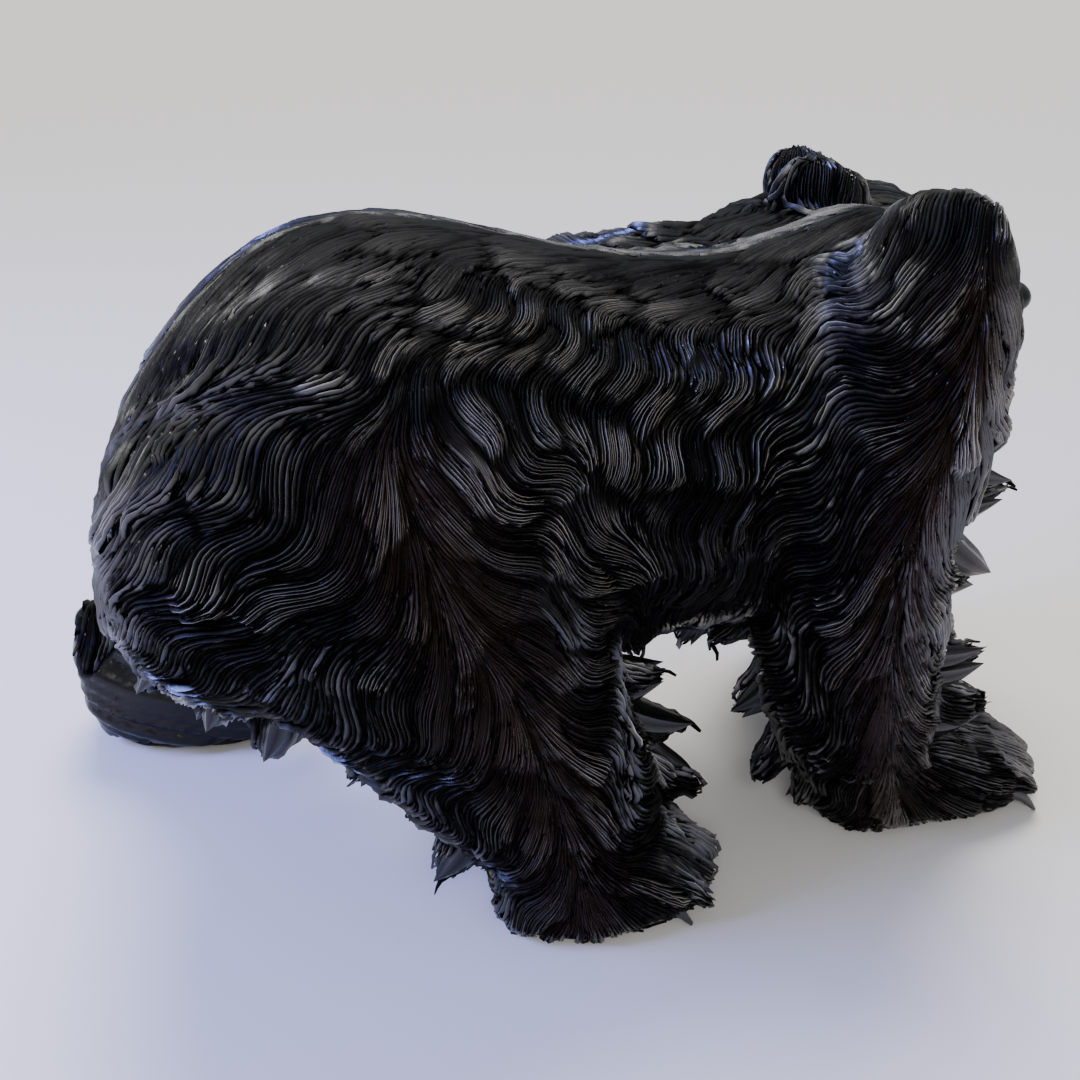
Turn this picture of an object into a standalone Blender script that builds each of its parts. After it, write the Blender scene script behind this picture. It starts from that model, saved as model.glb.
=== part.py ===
"""A carved wooden bear that walks on all fours, its head held to its left.

Metres, +Z up, +X where the bear walks, +Y its left side. It stands on its four flat
soles at z = 0, with the origin under the middle of its box. It is cut from one block
of wood, so it is one solid. Free forms are given in shares, hundredths of the body's
length. The locks of fur are worked out from the centre line of each limb: they leave
the line on the outside of the limb and sweep down and round it.
"""
import math

import bmesh
import bpy
import numpy as np

BODY_LENGTH = 0.62          # rump to chest, what every free form below is a share of
SHARE = BODY_LENGTH / 100

MOST_TRIANGLES = 9600       # the solid is thinned to this many facets
BODY_VOXEL = 0.8            # grid of the body's union, in shares
BODY_ROUNDS = 20            # rounds of smoothing that melt the limbs into the body
CARVED_VOXEL = 0.62         # grid of the union with tufts, ears and claws
RINGS_PER_STATION = 4       # rings lofted between two stations
SIDES = 28                  # corners of one ring

LOCK_PITCH = 4.6            # from one lock of fur to the next, in shares
LOCK_DEPTH = 1.15           # crest to groove
WAVE_LENGTH = 12.5          # the S waves that run along the locks
WAVE_SWING = 1.3
SPINE_HEIGHT = 41.0         # height of the body's middle
TORSO_RADIUS = 20.0
LIMB_RADIUS = 9.0

CLAW_LENGTH = 3.6
CLAW_RADIUS = 0.85
EYE_RADIUS = 1.35

# A station is centre x, y, z, half width, height above, depth below.
TORSO = [
    (-51.2, 0, 41, 5, -2, 10),
    (-50.2, 0, 41, 12, 3, 14),
    (-47.5, 0, 41, 16.5, 9.4, 17.5),
    (-42, 0, 41, 19.5, 16.8, 20.5),
    (-35, 0, 41, 21.5, 22.6, 22),
    (-27, 0, 41, 22.5, 24.8, 21.5),
    (-18, 0, 41, 22, 23.8, 19),
    (-9, 0, 41, 20.5, 21.4, 18),
    (0, 0, 41, 19.5, 19.8, 17.5),
    (8, 0, 41, 18.5, 19.6, 17.5),
    (15, 0, 41, 17.5, 21.4, 17),
    (22, 0, 41, 15.5, 23.4, 16.5),
    (28, 0, 41, 13, 21, 15),
    (33, 0, 41, 9, 14, 12),
    (35, 0, 41, 4, 5, 6),
]
LEFT_BACK = [
    (-30, 6, 45, 12, 12, 10),
    (-18, 9, 46.5, 11, 11.6, 10),
    (-6, 11, 47.6, 10.5, 12.2, 10),
    (4, 13, 48, 10, 12.2, 10),
    (14, 15, 48, 10, 11.8, 10),
    (24, 16, 48, 9, 9, 10),
]
NECK_HEAD = [
    (2, 4, 44, 12, 12, 13),
    (10, 10, 46, 13, 13, 14),
    (18, 15, 48, 13, 13, 14),
    (25, 19, 50, 12.4, 12, 13.5),
    (31, 21.6, 51, 12, 10.8, 12.5),
    (36.5, 21.6, 50.5, 11.4, 11, 11.5),
    (41, 21, 49, 9.8, 9.2, 10),
    (44.5, 20.4, 47.6, 7.6, 6.2, 7.8),
    (48.5, 19.7, 46.8, 6.2, 5.2, 6.6),
    (52.5, 19.0, 46.2, 5.5, 5, 5.8),
    (54.6, 18.7, 45.8, 3.4, 3.2, 3.8),
]
RIGHT_FORELEG = [
    (23.2, -10.6, 67.2, 3.8, 4, 4),
    (22.8, -11.4, 63.8, 6.2, 6.6, 5.6),
    (21.5, -12.5, 57, 8.8, 7, 7.8),
    (19.2, -13.5, 50, 9.8, 8, 9.2),
    (17, -14.2, 42, 9.6, 8, 9.6),
    (16.8, -14.5, 34, 9.0, 8, 9),
    (18.0, -14.3, 24, 9.2, 7, 8.5),
    (21.0, -13.0, 14, 8.4, 6.5, 7.5),
    (24.2, -11.5, 6, 7.2, 6.5, 6.5),
    (26, -11, -3, 6.4, 6, 6),
]
RIGHT_FORE_PAW = [
    (20, -11, 3, 3.4, 5, 8),
    (25, -11, 4, 6.2, 8, 9),
    (31, -11.2, 4.5, 6.9, 7.5, 9),
    (38, -11, 3.5, 6.9, 5.8, 8),
    (42.5, -10.5, 2.5, 5.6, 4.2, 6),
    (45, -10.3, 2, 3, 2.4, 4),
]
RIGHT_HIND = [
    (-31, -10, 52, 12, 6, 6),
    (-29, -13, 46, 17, 9, 9),
    (-24, -14.5, 36, 15.8, 9, 10),
    (-18.3, -15.5, 24, 12.8, 8, 9),
    (-12.0, -16.5, 12, 9.6, 7, 8),
    (-9.4, -17, 3, 8.6, 7.0, 7.5),
    (-9.2, -17, -3, 8.4, 7.0, 7),
]
RIGHT_HIND_PAW = [
    (-19, -17, 2, 4, 4, 6),
    (-14, -17.3, 3, 6, 7, 8),
    (-6, -17.2, 4, 6.9, 7, 9),
    (-1, -17.0, 3, 6.5, 5.5, 8),
    (3, -16.6, 2, 4.0, 3, 5),
]
LEFT_HIND = [
    (-30, 12, 50, 12, 6, 6),
    (-34, 15, 42, 14.5, 8, 9),
    (-39, 18, 32, 12.5, 8, 9),
    (-45.0, 21, 22, 9.8, 8, 8),
    (-49.6, 23, 13, 8.2, 7, 7.5),
    (-51, 23, 5, 7.5, 7, 7),
    (-50, 22.5, -3, 7, 6.5, 7),
]
LEFT_HIND_PAW = [
    (-61.2, 24.6, 11, 4.4, 5, 5),
    (-60.2, 24.5, 9.5, 6.6, 7.6, 8.4),
    (-56.5, 24, 7.5, 7.8, 10, 10.4),
    (-48, 22.6, 5, 8.0, 9, 12),
    (-42, 21.7, 3.5, 7.3, 6.4, 8),
    (-37.5, 21, 2, 4.5, 3.5, 5),
]
LEFT_FORELEG = [
    (13, 12, 57, 8, 6, 6),
    (16.5, 15, 50, 11, 8, 9),
    (22.5, 17, 38, 10, 8, 9),
    (27.5, 18.5, 25, 8.8, 7, 8),
    (32, 19, 12, 8.2, 6.5, 7.5),
    (34.5, 19, 3, 7.6, 6.6, 7),
    (35, 19, -3, 7.2, 6.4, 6.6),
]
LEFT_FORE_PAW = [
    (29, 19, 3, 3.4, 5, 8),
    (34, 19, 4, 6.2, 8, 9),
    (40, 19, 4.5, 6.9, 7.5, 9),
    (47, 19, 3.5, 6.9, 5.8, 8),
    (51.5, 19, 2.5, 5.6, 4.2, 6),
    (54, 19, 2, 3, 2.4, 4),
]
RIGHT_EAR = [
    (26.4, 17.8, 54, 4.6, 3.4, 3.4),
    (26.0, 17.2, 58.5, 5.4, 3.2, 3.2),
    (25.9, 16.8, 61.5, 5.7, 2.8, 2.8),
    (26.1, 16.4, 64, 4.8, 2.3, 2.3),
    (26.5, 16.2, 65.4, 3.0, 1.5, 1.5),
]
LEFT_EAR = [
    (29.0, 26.4, 54, 4.4, 3.4, 3.4),
    (29.0, 27.0, 58.5, 4.8, 3.2, 3.2),
    (29.0, 27.4, 61.3, 4.8, 2.8, 2.8),
    (29.3, 27.8, 63.6, 3.8, 2.3, 2.3),
    (29.6, 28.0, 64.8, 2.2, 1.4, 1.4),
]

# A tuft is tip x, y, z, the way it points in the side view in degrees, length, breadth.
RIGHT_TUFTS = [
    (-0.7, -13, 23.1, -15, 6.5, 3.4),
    (1.8, -13, 16.6, -25, 7, 4.2),
    (3.4, -14, 9.0, -35, 6, 3.8),
    (-31.7, -15, 17.5, -115, 6.5, 4.6),
    (-26.6, -16, 13.5, -120, 5.5, 4.2),
    (-24.2, -16, 5.0, -112, 7, 4.8),
    (-50.5, -7, 31.5, -105, 5, 3.4),
    (-48.6, -9, 26.6, -108, 6, 4),
    (-44.1, -9, 21.8, -104, 6, 4.6),
    (-39.3, -10, 18.6, -100, 6, 5),
    (32.9, -13, 39.6, -12, 8, 4.2),
    (31.2, -14, 30.5, -32, 7, 4.8),
    (33.6, -14, 21.1, -8, 7, 3.8),
    (35.4, -14, 14.0, -22, 7, 4.4),
    (5.6, -9, 22.8, -120, 8, 5.2),
    (8.6, -10, 14.6, -128, 8.5, 6.4),
    (11.4, -11, 6.2, -118, 8, 5.6),
    (15.8, -12.5, 2.4, -108, 6.5, 4.8),
    (-1.6, -8, 22.4, -80, 5, 3.4),
    (2.6, -8, 23.0, -96, 5, 3.4),
]
LEFT_TUFTS = [
    (-22.5, 18, 21.5, -24, 7, 4.2),
    (-29.5, 20, 12.5, -30, 7, 4.4),
    (-53.5, 19, 27.5, -138, 6, 4.2),
    (-47.5, 14, 23.0, -118, 6, 4.4),
    (-36.0, 13, 20.0, -96, 6, 4.6),
    (34.5, 17, 34.5, -18, 7.5, 4.2),
    (38.5, 18, 25.0, -24, 7, 4.6),
    (42.0, 19, 15.5, -22, 7, 4.2),
    (10.5, 16, 23.0, -122, 8, 5.2),
    (16.5, 17, 14.5, -126, 8, 6),
    (21.8, 18, 6.5, -118, 7.5, 5.4),
    (-8.0, 9, 21.8, -92, 5, 3.6),
    (4.0, 7, 22.6, -88, 5, 3.6),
]
CHEST_TUFTS = [
    (33.5, -4, 24.5, -78, 7, 4.6),
    (36.0, 3, 27.0, -70, 7, 4.6),
    (29.0, 4, 22.5, -86, 6.5, 4.4),
]


def clear_scene():
    for old in list(bpy.data.objects):
        bpy.data.objects.remove(old)


def through(stations, per_span):
    """Rows read from a smooth Catmull-Rom curve through the station rows."""
    rows = np.array(stations, float)
    padded = np.vstack([2 * rows[0] - rows[1], rows, 2 * rows[-1] - rows[-2]])
    made = []
    for i in range(1, len(padded) - 2):
        a, b, c, d = padded[i - 1 : i + 3]
        for t in np.linspace(0, 1, per_span, endpoint=False):
            made.append(
                0.5 * (2 * b + (c - a) * t + (2 * a - 5 * b + 4 * c - d) * t**2 + (3 * b - a - 3 * c + d) * t**3)
            )
    made.append(rows[-1])
    return np.array(made)


def skin(bm, rings, tips):
    """Closes a tube of rings with a point at each end and adds it to the mesh."""
    loops = [[bm.verts.new(p) for p in ring] for ring in rings]
    for low, high in zip(loops, loops[1:]):
        n = len(low)
        for k in range(n):
            bm.faces.new((low[k], low[(k + 1) % n], high[(k + 1) % n], high[k]))
    for loop, tip, flip in ((loops[0], tips[0], True), (loops[-1], tips[1], False)):
        point = bm.verts.new(tip)
        n = len(loop)
        for k in range(n):
            pair = (loop[(k + 1) % n], loop[k]) if flip else (loop[k], loop[(k + 1) % n])
            bm.faces.new((*pair, point))


def loft(bm, stations, up=(0, 0, 1), upright=False, sides=SIDES):
    """A closed form along a path of stations; upright keeps every ring square to +X."""
    rows = through(stations, RINGS_PER_STATION)
    rows[:, 3] = np.maximum(rows[:, 3], 0.3)
    centres = rows[:, :3]
    ways = np.gradient(centres, axis=0)
    ways /= np.linalg.norm(ways, axis=1)[:, None]
    if upright:
        ways[:] = (1, 0, 0)
    side = np.cross(np.array(up, float), ways)
    side /= np.linalg.norm(side, axis=1)[:, None]
    rise = np.cross(ways, side)
    angle = np.linspace(0, 2 * math.pi, sides, endpoint=False)
    c, s = np.cos(angle), np.sin(angle)
    tall = np.where(s[None, :] > 0, rows[:, 4:5], rows[:, 5:6]) * s[None, :]
    rings = (
        centres[:, None]
        + side[:, None] * (rows[:, 3:4] * c[None, :])[..., None]
        + rise[:, None] * tall[..., None]
    )
    middle = rings.mean(axis=1)
    tips = (middle[0] - ways[0] * 0.3, middle[-1] + ways[-1] * 0.3)
    skin(bm, rings * SHARE, (tips[0] * SHARE, tips[1] * SHARE))


def tuft(bm, tip_x, tip_y, tip_z, degrees, length, breadth):
    """A free lock of fur: a flat flame whose point curls back up a little."""
    lean = math.radians(degrees)
    way = np.array((math.cos(lean), 0, math.sin(lean)))
    across = np.array((-way[2], 0, way[0]))
    if across[2] < 0:
        across = -across
    tip = np.array((tip_x, tip_y, tip_z), float)
    half = breadth / 2
    stations = []
    for t, wide, thick in ((-0.5, 1.5, 2.4), (0, 1.35, 2.2), (0.4, 1.05, 1.8), (0.75, 0.62, 1.2), (1, 0.16, 0.45)):
        centre = tip + way * length * (t - 1) - across * length * 0.14 * (1 - t * t)
        stations.append((*centre, half * wide, thick, thick))
    loft(bm, stations, up=(0, 1, 0), sides=12)


def claws(bm, paw):
    """Five claws that curve forward and down from the front of a paw."""
    x, y = paw[-3][0], paw[-3][1]
    reach = paw[-1][0] - x
    for k in range(-2, 3):
        spread = 0.2 * k
        root = np.array((x + reach * (0.62 - 0.09 * k * k), y + 2.35 * k, 3.3 - 0.25 * k * k))
        way = np.array((math.cos(spread), math.sin(spread), 0))
        stations = []
        for t in (-0.5, 0, 0.4, 0.75, 1):
            centre = root + way * CLAW_LENGTH * t
            centre[2] -= 2.3 * max(t, 0) ** 2
            radius = CLAW_RADIUS * (1 - 0.72 * max(t, 0))
            stations.append((*centre, radius, radius * 1.2, radius * 1.2))
        loft(bm, stations, sides=10)


def ball(bm, centre, radii):
    """An egg: rings along x whose radius follows a half circle."""
    stations = []
    for t in np.linspace(-0.96, 0.96, 7):
        r = math.sqrt(1 - t * t)
        x = centre[0] + radii[0] * t
        stations.append((x, centre[1], centre[2], radii[1] * r, radii[2] * r, radii[2] * r))
    loft(bm, stations, upright=True, sides=16)


def union(name, mesh, voxel, rounds):
    """Melts overlapping closed forms into one skin on a grid and smooths it."""
    obj = bpy.data.objects.new(name, mesh)
    bpy.context.scene.collection.objects.link(obj)
    grid = obj.modifiers.new("union", "REMESH")
    grid.mode = "VOXEL"
    grid.voxel_size = voxel * SHARE
    soften = obj.modifiers.new("soften", "SMOOTH")
    soften.factor = 0.5
    soften.iterations = rounds
    graph = bpy.context.evaluated_depsgraph_get()
    made = bpy.data.meshes.new_from_object(obj.evaluated_get(graph))
    bpy.data.objects.remove(obj)
    return made


def nearest_on(points, path):
    """Length along the path, the offset from it, the direction there and the local radius."""
    rows = through(path, RINGS_PER_STATION)
    a, b = rows[:-1, :3], rows[1:, :3]
    span = b - a
    long = np.linalg.norm(span, axis=1)
    start = np.concatenate(([0], np.cumsum(long)[:-1]))
    best = np.full(len(points), 1e9)
    along = np.zeros(len(points))
    offset = np.zeros((len(points), 3))
    way = np.zeros((len(points), 3))
    radius = np.zeros(len(points))
    for k in range(len(a)):
        t = np.clip(((points - a[k]) @ span[k]) / long[k] ** 2, 0, 1)
        off = points - (a[k] + t[:, None] * span[k])
        far = np.linalg.norm(off, axis=1)
        closer = far < best
        best[closer] = far[closer]
        along[closer] = start[k] + t[closer] * long[k]
        offset[closer] = off[closer]
        way[closer] = span[k] / long[k]
        radius[closer] = (rows[k, 3] + rows[k, 4] + rows[k, 5]) / 3
    return along, offset, way, best / radius


def fade(value, full, none):
    """1 up to full, 0 from none on, smooth between."""
    t = np.clip((value - none) / (full - none), 0, 1)
    return t * t * (3 - 2 * t)


def locks(across, slope):
    """Round crests with narrow grooves; they sink where the locks lie too close together."""
    crest = np.abs(np.sin(math.pi * across / LOCK_PITCH)) ** 0.8 - 0.6
    return crest * LOCK_DEPTH / (1 + slope**2)


def fur_relief(p):
    """Height of the carved locks at each point, in shares."""
    swing = 2 * math.pi / WAVE_LENGTH
    hanging = locks(p[:, 1] + 0.12 * p[:, 2] + WAVE_SWING * np.sin(swing * (p[:, 2] + 0.4 * p[:, 1])), 0.3)
    arc = np.arctan2(np.abs(p[:, 1]), p[:, 2] - SPINE_HEIGHT) * TORSO_RADIUS
    sweep = 22 * (1 - np.exp(-arc / 9)) + 0.25 * arc + WAVE_SWING * np.sin(swing * (arc + 0.3 * p[:, 0]))
    slope = 22 / 9 * np.exp(-arc / 9) + 0.25
    height = locks(p[:, 0] + sweep, slope) * fade(arc, 4, 1)
    ends = fade(p[:, 0], -47, -40) + fade(-p[:, 0], -31, -25)
    height = height * (1 - ends) + hanging * ends
    for limb, out in ((RIGHT_FORELEG, -1), (RIGHT_HIND, -1), (LEFT_FORELEG, 1), (LEFT_HIND, 1)):
        along, offset, way, far = nearest_on(p, limb)
        side = np.cross(way, (0, 1, 0))
        turn = np.arctan2((offset * side).sum(axis=1), out * offset[:, 1])
        away = np.abs(turn) * LIMB_RADIUS
        run = 7 * (1 - np.exp(-away / 5)) + 0.55 * away + WAVE_SWING * 0.8 * np.sin(swing * away + 0.2 * along)
        slope = 7 / 5 * np.exp(-away / 5) + 0.55
        weight = fade(far, 1.25, 1.6) * fade(along, 4, 0)
        top = fade(along, 6, 13)
        strands = locks(turn * LIMB_RADIUS, 0.5) * top + locks(along - run, slope) * (1 - top)
        height = height * (1 - weight) + weight * strands
    along, offset, way, far = nearest_on(p, NECK_HEAD)
    turn = np.arctan2(offset[:, 1], offset[:, 2]) * LIMB_RADIUS
    strands = np.abs(np.sin(math.pi * (turn + 0.8 * np.sin(swing * along)) / LOCK_PITCH)) ** 0.8 - 0.6
    strands *= LOCK_DEPTH * 0.7 * fade(along, 40, 50)
    weight = fade(far, 1.15, 1.4) * fade(-along, -16, -8)
    return height * (1 - weight) + weight * strands


def bare_paws(p):
    """1 on fur, 0 on the smooth paws below the fringe of each leg."""
    fur = np.ones(len(p))
    for paw, fringe in ((RIGHT_FORE_PAW, 30), (LEFT_FORE_PAW, 39), (RIGHT_HIND_PAW, -6), (LEFT_HIND_PAW, -46)):
        far = nearest_on(p, paw)[3]
        fur *= 1 - fade(far, 1.2, 1.5) * fade(-p[:, 0], -fringe - 1, -fringe + 2)
    low = fade(p[:, 2], 1.2, 2.6)
    return fur * (1 - low)


def groove(distance, width, depth):
    return -depth * np.exp(-((distance / width) ** 2))


def details(p):
    """Grooves between the toes, creases of the raised heel, mouth line and ear hollows."""
    cut = np.zeros(len(p))
    for paw in (RIGHT_FORE_PAW, LEFT_FORE_PAW, RIGHT_HIND_PAW, LEFT_HIND_PAW):
        toe_x, toe_y = paw[-3][0], paw[-3][1]
        near = fade(-p[:, 0], -toe_x - 0.5, -toe_x + 4) * fade(np.abs(p[:, 1] - toe_y), 7, 9) * fade(p[:, 2], 8, 11)
        near = near * fade(-p[:, 0], -(toe_x - 3), -(toe_x - 8))
        for k in (-1.5, -0.5, 0.5, 1.5):
            cut += near * groove(p[:, 1] - toe_y - 2.6 * k, 0.7, 0.9)
    heel = fade(p[:, 0], -54.5, -50) * fade(np.abs(p[:, 1] - 24), 7, 9)
    for z in (10.5, 13.4, 16.2):
        cut += heel * groove(p[:, 2] - z + 0.12 * (p[:, 1] - 24), 0.55, 0.8)
    for side in (-1, 1):
        d = p - np.array((45.0 + 0.8 * side, 20.4 + side * 4.9, 52.2))
        far = np.linalg.norm(d, axis=1)
        cut -= 1.1 * np.exp(-(((far - 2.6) / 0.9) ** 2))
    muzzle = fade(-p[:, 0], -46.5, -44) * fade(np.abs(p[:, 1] - 19.5), 8, 10) * fade(-p[:, 2], -40, -38)
    cut += muzzle * groove(p[:, 2] - 43.4 - 0.03 * (p[:, 0] - 50) ** 2, 0.7, 0.9)
    for ear, out in ((RIGHT_EAR, -1), (LEFT_EAR, 1)):
        d = p - np.array(ear[2][:3])
        d[:, 1] -= out * 1.5
        hollow = np.exp(-((d[:, 0] / 3.4) ** 2) - (d[:, 2] / 1.9) ** 2 - (d[:, 1] / 1.6) ** 2)
        cut -= 1.2 * hollow * (out * d[:, 1] > -1.2)
    return cut


def carve(mesh):
    """Moves every corner of the skin along its normal by the carved relief."""
    count = len(mesh.vertices)
    p = np.zeros(count * 3)
    mesh.vertices.foreach_get("co", p)
    p = p.reshape(-1, 3) / SHARE
    n = np.zeros(count * 3)
    mesh.vertices.foreach_get("normal", n)
    n = n.reshape(-1, 3)
    p = p + n * (fur_relief(p) * bare_paws(p) + details(p))[:, None]
    mesh.vertices.foreach_set("co", (p * SHARE).ravel())
    mesh.update()


def thin(name, mesh):
    """Thins the skin to the wanted number of facets and cuts the soles flat."""
    obj = bpy.data.objects.new(name, mesh)
    bpy.context.scene.collection.objects.link(obj)
    mesh.calc_loop_triangles()
    fewer = obj.modifiers.new("fewer", "DECIMATE")
    fewer.ratio = MOST_TRIANGLES / len(mesh.loop_triangles)
    fewer.use_collapse_triangulate = True
    graph = bpy.context.evaluated_depsgraph_get()
    made = bpy.data.meshes.new_from_object(obj.evaluated_get(graph))
    obj.modifiers.clear()
    bm = bmesh.new()
    bm.from_mesh(made)
    parts = bm.verts[:] + bm.edges[:] + bm.faces[:]
    bmesh.ops.bisect_plane(bm, geom=parts, dist=1e-6, plane_co=(0, 0, 0), plane_no=(0, 0, 1), clear_inner=True)
    rims = [edge for edge in bm.edges if edge.is_boundary]
    bmesh.ops.holes_fill(bm, edges=rims)
    bmesh.ops.recalc_face_normals(bm, faces=bm.faces)
    corners = np.array([v.co[:] for v in bm.verts])
    middle = (corners.min(axis=0) + corners.max(axis=0)) / 2
    bmesh.ops.translate(bm, verts=bm.verts, vec=(-middle[0], -middle[1], 0))
    bm.to_mesh(made)
    bm.free()
    obj.data = made
    return obj


def stained_wood():
    material = bpy.data.materials.new("stained_wood")
    material.use_nodes = True
    shader = material.node_tree.nodes["Principled BSDF"]
    shader.inputs["Base Color"].default_value = (0.022, 0.019, 0.019, 1)
    shader.inputs["Roughness"].default_value = 0.36
    shader.inputs["Metallic"].default_value = 0.0
    material.diffuse_color = (0.022, 0.019, 0.019, 1)
    return material


def main():
    clear_scene()
    bm = bmesh.new()
    loft(bm, TORSO, upright=True)
    loft(bm, LEFT_BACK)
    loft(bm, NECK_HEAD)
    for leg in (RIGHT_FORELEG, RIGHT_HIND, LEFT_HIND, LEFT_FORELEG):
        loft(bm, leg, up=(0, 1, 0))
    for paw in (RIGHT_FORE_PAW, RIGHT_HIND_PAW, LEFT_HIND_PAW, LEFT_FORE_PAW):
        loft(bm, paw, upright=True)
    body = bpy.data.meshes.new("body")
    bm.to_mesh(body)
    bm.free()
    body = union("body", body, BODY_VOXEL, BODY_ROUNDS)

    bm = bmesh.new()
    bm.from_mesh(body)
    for ear in (RIGHT_EAR, LEFT_EAR):
        loft(bm, ear, up=(0, 1, 0))
    for row in RIGHT_TUFTS + LEFT_TUFTS + CHEST_TUFTS:
        tuft(bm, *row)
    for paw in (RIGHT_FORE_PAW, RIGHT_HIND_PAW, LEFT_HIND_PAW, LEFT_FORE_PAW):
        claws(bm, paw)
    for side in (-1, 1):
        ball(bm, (45.0 + 0.8 * side, 20.4 + side * 4.9, 52.2), (EYE_RADIUS, EYE_RADIUS, EYE_RADIUS))
    ball(bm, (54.2, 18.8, 48.3), (1.9, 2.8, 1.9))
    whole = bpy.data.meshes.new("whole")
    bm.to_mesh(whole)
    bm.free()
    whole = union("whole", whole, CARVED_VOXEL, 2)
    carve(whole)
    bear = thin("carved_bear", whole)
    bear.data.name = "carved_bear"
    bear.data.materials.clear()
    bear.data.materials.append(stained_wood())


main()
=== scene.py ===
"""A carved wooden bear that walks on all fours, its head held to its left.

Metres, +Z up, +X where the bear walks, +Y its left side, soles at z = 0. The body is
one block of wood with the fur cut into it: long fine ridges that leave the spine and
the middle of each leg and sweep down and round in S waves, gathered into locks.
"""
import math

import bmesh
import bpy
import numpy as np
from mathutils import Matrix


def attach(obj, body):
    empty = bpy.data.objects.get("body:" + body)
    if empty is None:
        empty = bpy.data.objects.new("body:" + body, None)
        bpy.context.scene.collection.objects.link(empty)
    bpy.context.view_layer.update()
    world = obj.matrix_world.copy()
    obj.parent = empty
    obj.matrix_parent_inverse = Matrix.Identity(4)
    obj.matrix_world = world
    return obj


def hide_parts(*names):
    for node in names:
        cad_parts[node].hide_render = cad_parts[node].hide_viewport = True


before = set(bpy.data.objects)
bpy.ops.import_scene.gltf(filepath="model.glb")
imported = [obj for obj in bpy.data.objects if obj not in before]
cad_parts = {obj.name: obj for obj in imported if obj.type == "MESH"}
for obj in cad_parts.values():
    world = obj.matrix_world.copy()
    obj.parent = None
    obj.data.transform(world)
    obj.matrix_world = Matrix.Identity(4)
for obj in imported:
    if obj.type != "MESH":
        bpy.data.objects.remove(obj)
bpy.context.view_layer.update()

# The carved block
# The body, neck, legs and paws are cut from one block of wood. Stations give the
# rounded masses under the fur in hundredths of the body's length: centre x, y, z, half
# width, height above and depth below. They are melted into one skin and smoothed.
SHARE = 0.0062
PLACE = np.array((0.017345, -0.027592, 0.0))
BODY_GRID = 0.8
BODY_ROUNDS = 20
FUR_GRID = 0.61
FUR_ROUNDS = 3
TORSO = [
    (-51.2, 0, 41, 5, -2, 10), (-50.2, 0, 41, 12, 3, 14), (-47.5, 0, 41, 16.5, 9.4, 17.5),
    (-42, 0, 41, 19.5, 16.8, 20.5), (-35, 0, 41, 21.5, 22.6, 22), (-27, 0, 41, 22.5, 24.8, 21.5),
    (-18, 0, 41, 22, 23.8, 19), (-9, 0, 41, 20.5, 21.4, 18), (0, 0, 41, 19.5, 19.8, 17.5),
    (8, 0, 41, 18.5, 19.6, 17.5), (15, 0, 41, 17.5, 21.4, 17), (22, 0, 41, 15.5, 23.4, 16.5),
    (28, 0, 41, 13, 21, 15), (33, 0, 41, 9, 14, 12), (35, 0, 41, 4, 5, 6),
]
LEFT_BACK = [
    (-30, 6, 45, 12, 12, 10), (-18, 9, 46.5, 11, 11.6, 10), (-6, 11, 47.6, 10.5, 12.2, 10),
    (4, 13, 48, 10, 12.2, 10), (14, 15, 48, 10, 11.8, 10), (24, 16, 48, 9, 9, 10),
]
NECK_HEAD = [
    (2, 4, 44, 12, 12, 13), (10, 10, 46, 13, 13, 14), (18, 15, 48, 13, 13, 14),
    (25, 19, 50, 12.4, 12, 13.5), (31, 21.6, 51, 12, 10.8, 12.5), (36.5, 21.6, 50.5, 11.4, 11, 11.5),
    (41, 21, 49, 9.8, 9.2, 10), (44.5, 20.4, 47.6, 7.6, 6.2, 7.8), (48.5, 19.7, 46.8, 6.2, 5.2, 6.6),
    (52.5, 19.0, 46.2, 5.5, 5, 5.8), (54.6, 18.7, 45.8, 3.4, 3.2, 3.8),
]
RIGHT_FORELEG = [
    (23.2, -10.6, 67.2, 3.8, 4, 4), (22.8, -11.4, 63.8, 6.2, 6.6, 5.6), (21.5, -12.5, 57, 8.8, 7, 7.8),
    (19.2, -13.5, 50, 9.8, 8, 9.2), (17, -14.2, 42, 9.6, 8, 9.6), (16.8, -14.5, 34, 9.0, 8, 9),
    (18.0, -14.3, 24, 9.2, 7, 8.5), (21.0, -13.0, 14, 8.4, 6.5, 7.5), (24.2, -11.5, 6, 7.2, 6.5, 6.5),
    (26, -11, -3, 6.4, 6, 6),
]
RIGHT_FORE_PAW = [
    (20, -11, 3, 3.4, 5, 8), (25, -11, 4, 6.2, 8, 9), (31, -11.2, 4.5, 6.9, 7.5, 9),
    (38, -11, 3.5, 6.9, 5.8, 8), (42.5, -10.5, 2.5, 5.6, 4.2, 6), (45, -10.3, 2, 3, 2.4, 4),
]
RIGHT_HIND = [
    (-31, -10, 52, 12, 6, 6), (-29, -13, 46, 17, 9, 9), (-24, -14.5, 36, 15.8, 9, 10),
    (-18.3, -15.5, 24, 12.8, 8, 9), (-12.0, -16.5, 12, 9.6, 7, 8), (-9.4, -17, 3, 8.6, 7.0, 7.5),
    (-9.2, -17, -3, 8.4, 7.0, 7),
]
RIGHT_HIND_PAW = [
    (-19, -17, 2, 4, 4, 6), (-14, -17.3, 3, 6, 7, 8), (-6, -17.2, 4, 6.9, 7, 9),
    (-1, -17.0, 3, 6.5, 5.5, 8), (3, -16.6, 2, 4.0, 3, 5),
]
LEFT_HIND = [
    (-30, 12, 50, 12, 6, 6), (-34, 15, 42, 14.5, 8, 9), (-39, 18, 32, 12.5, 8, 9),
    (-45.0, 21, 22, 9.8, 8, 8), (-49.6, 23, 13, 8.2, 7, 7.5), (-51, 23, 5, 7.5, 7, 7),
    (-50, 22.5, -3, 7, 6.5, 7),
]
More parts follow.
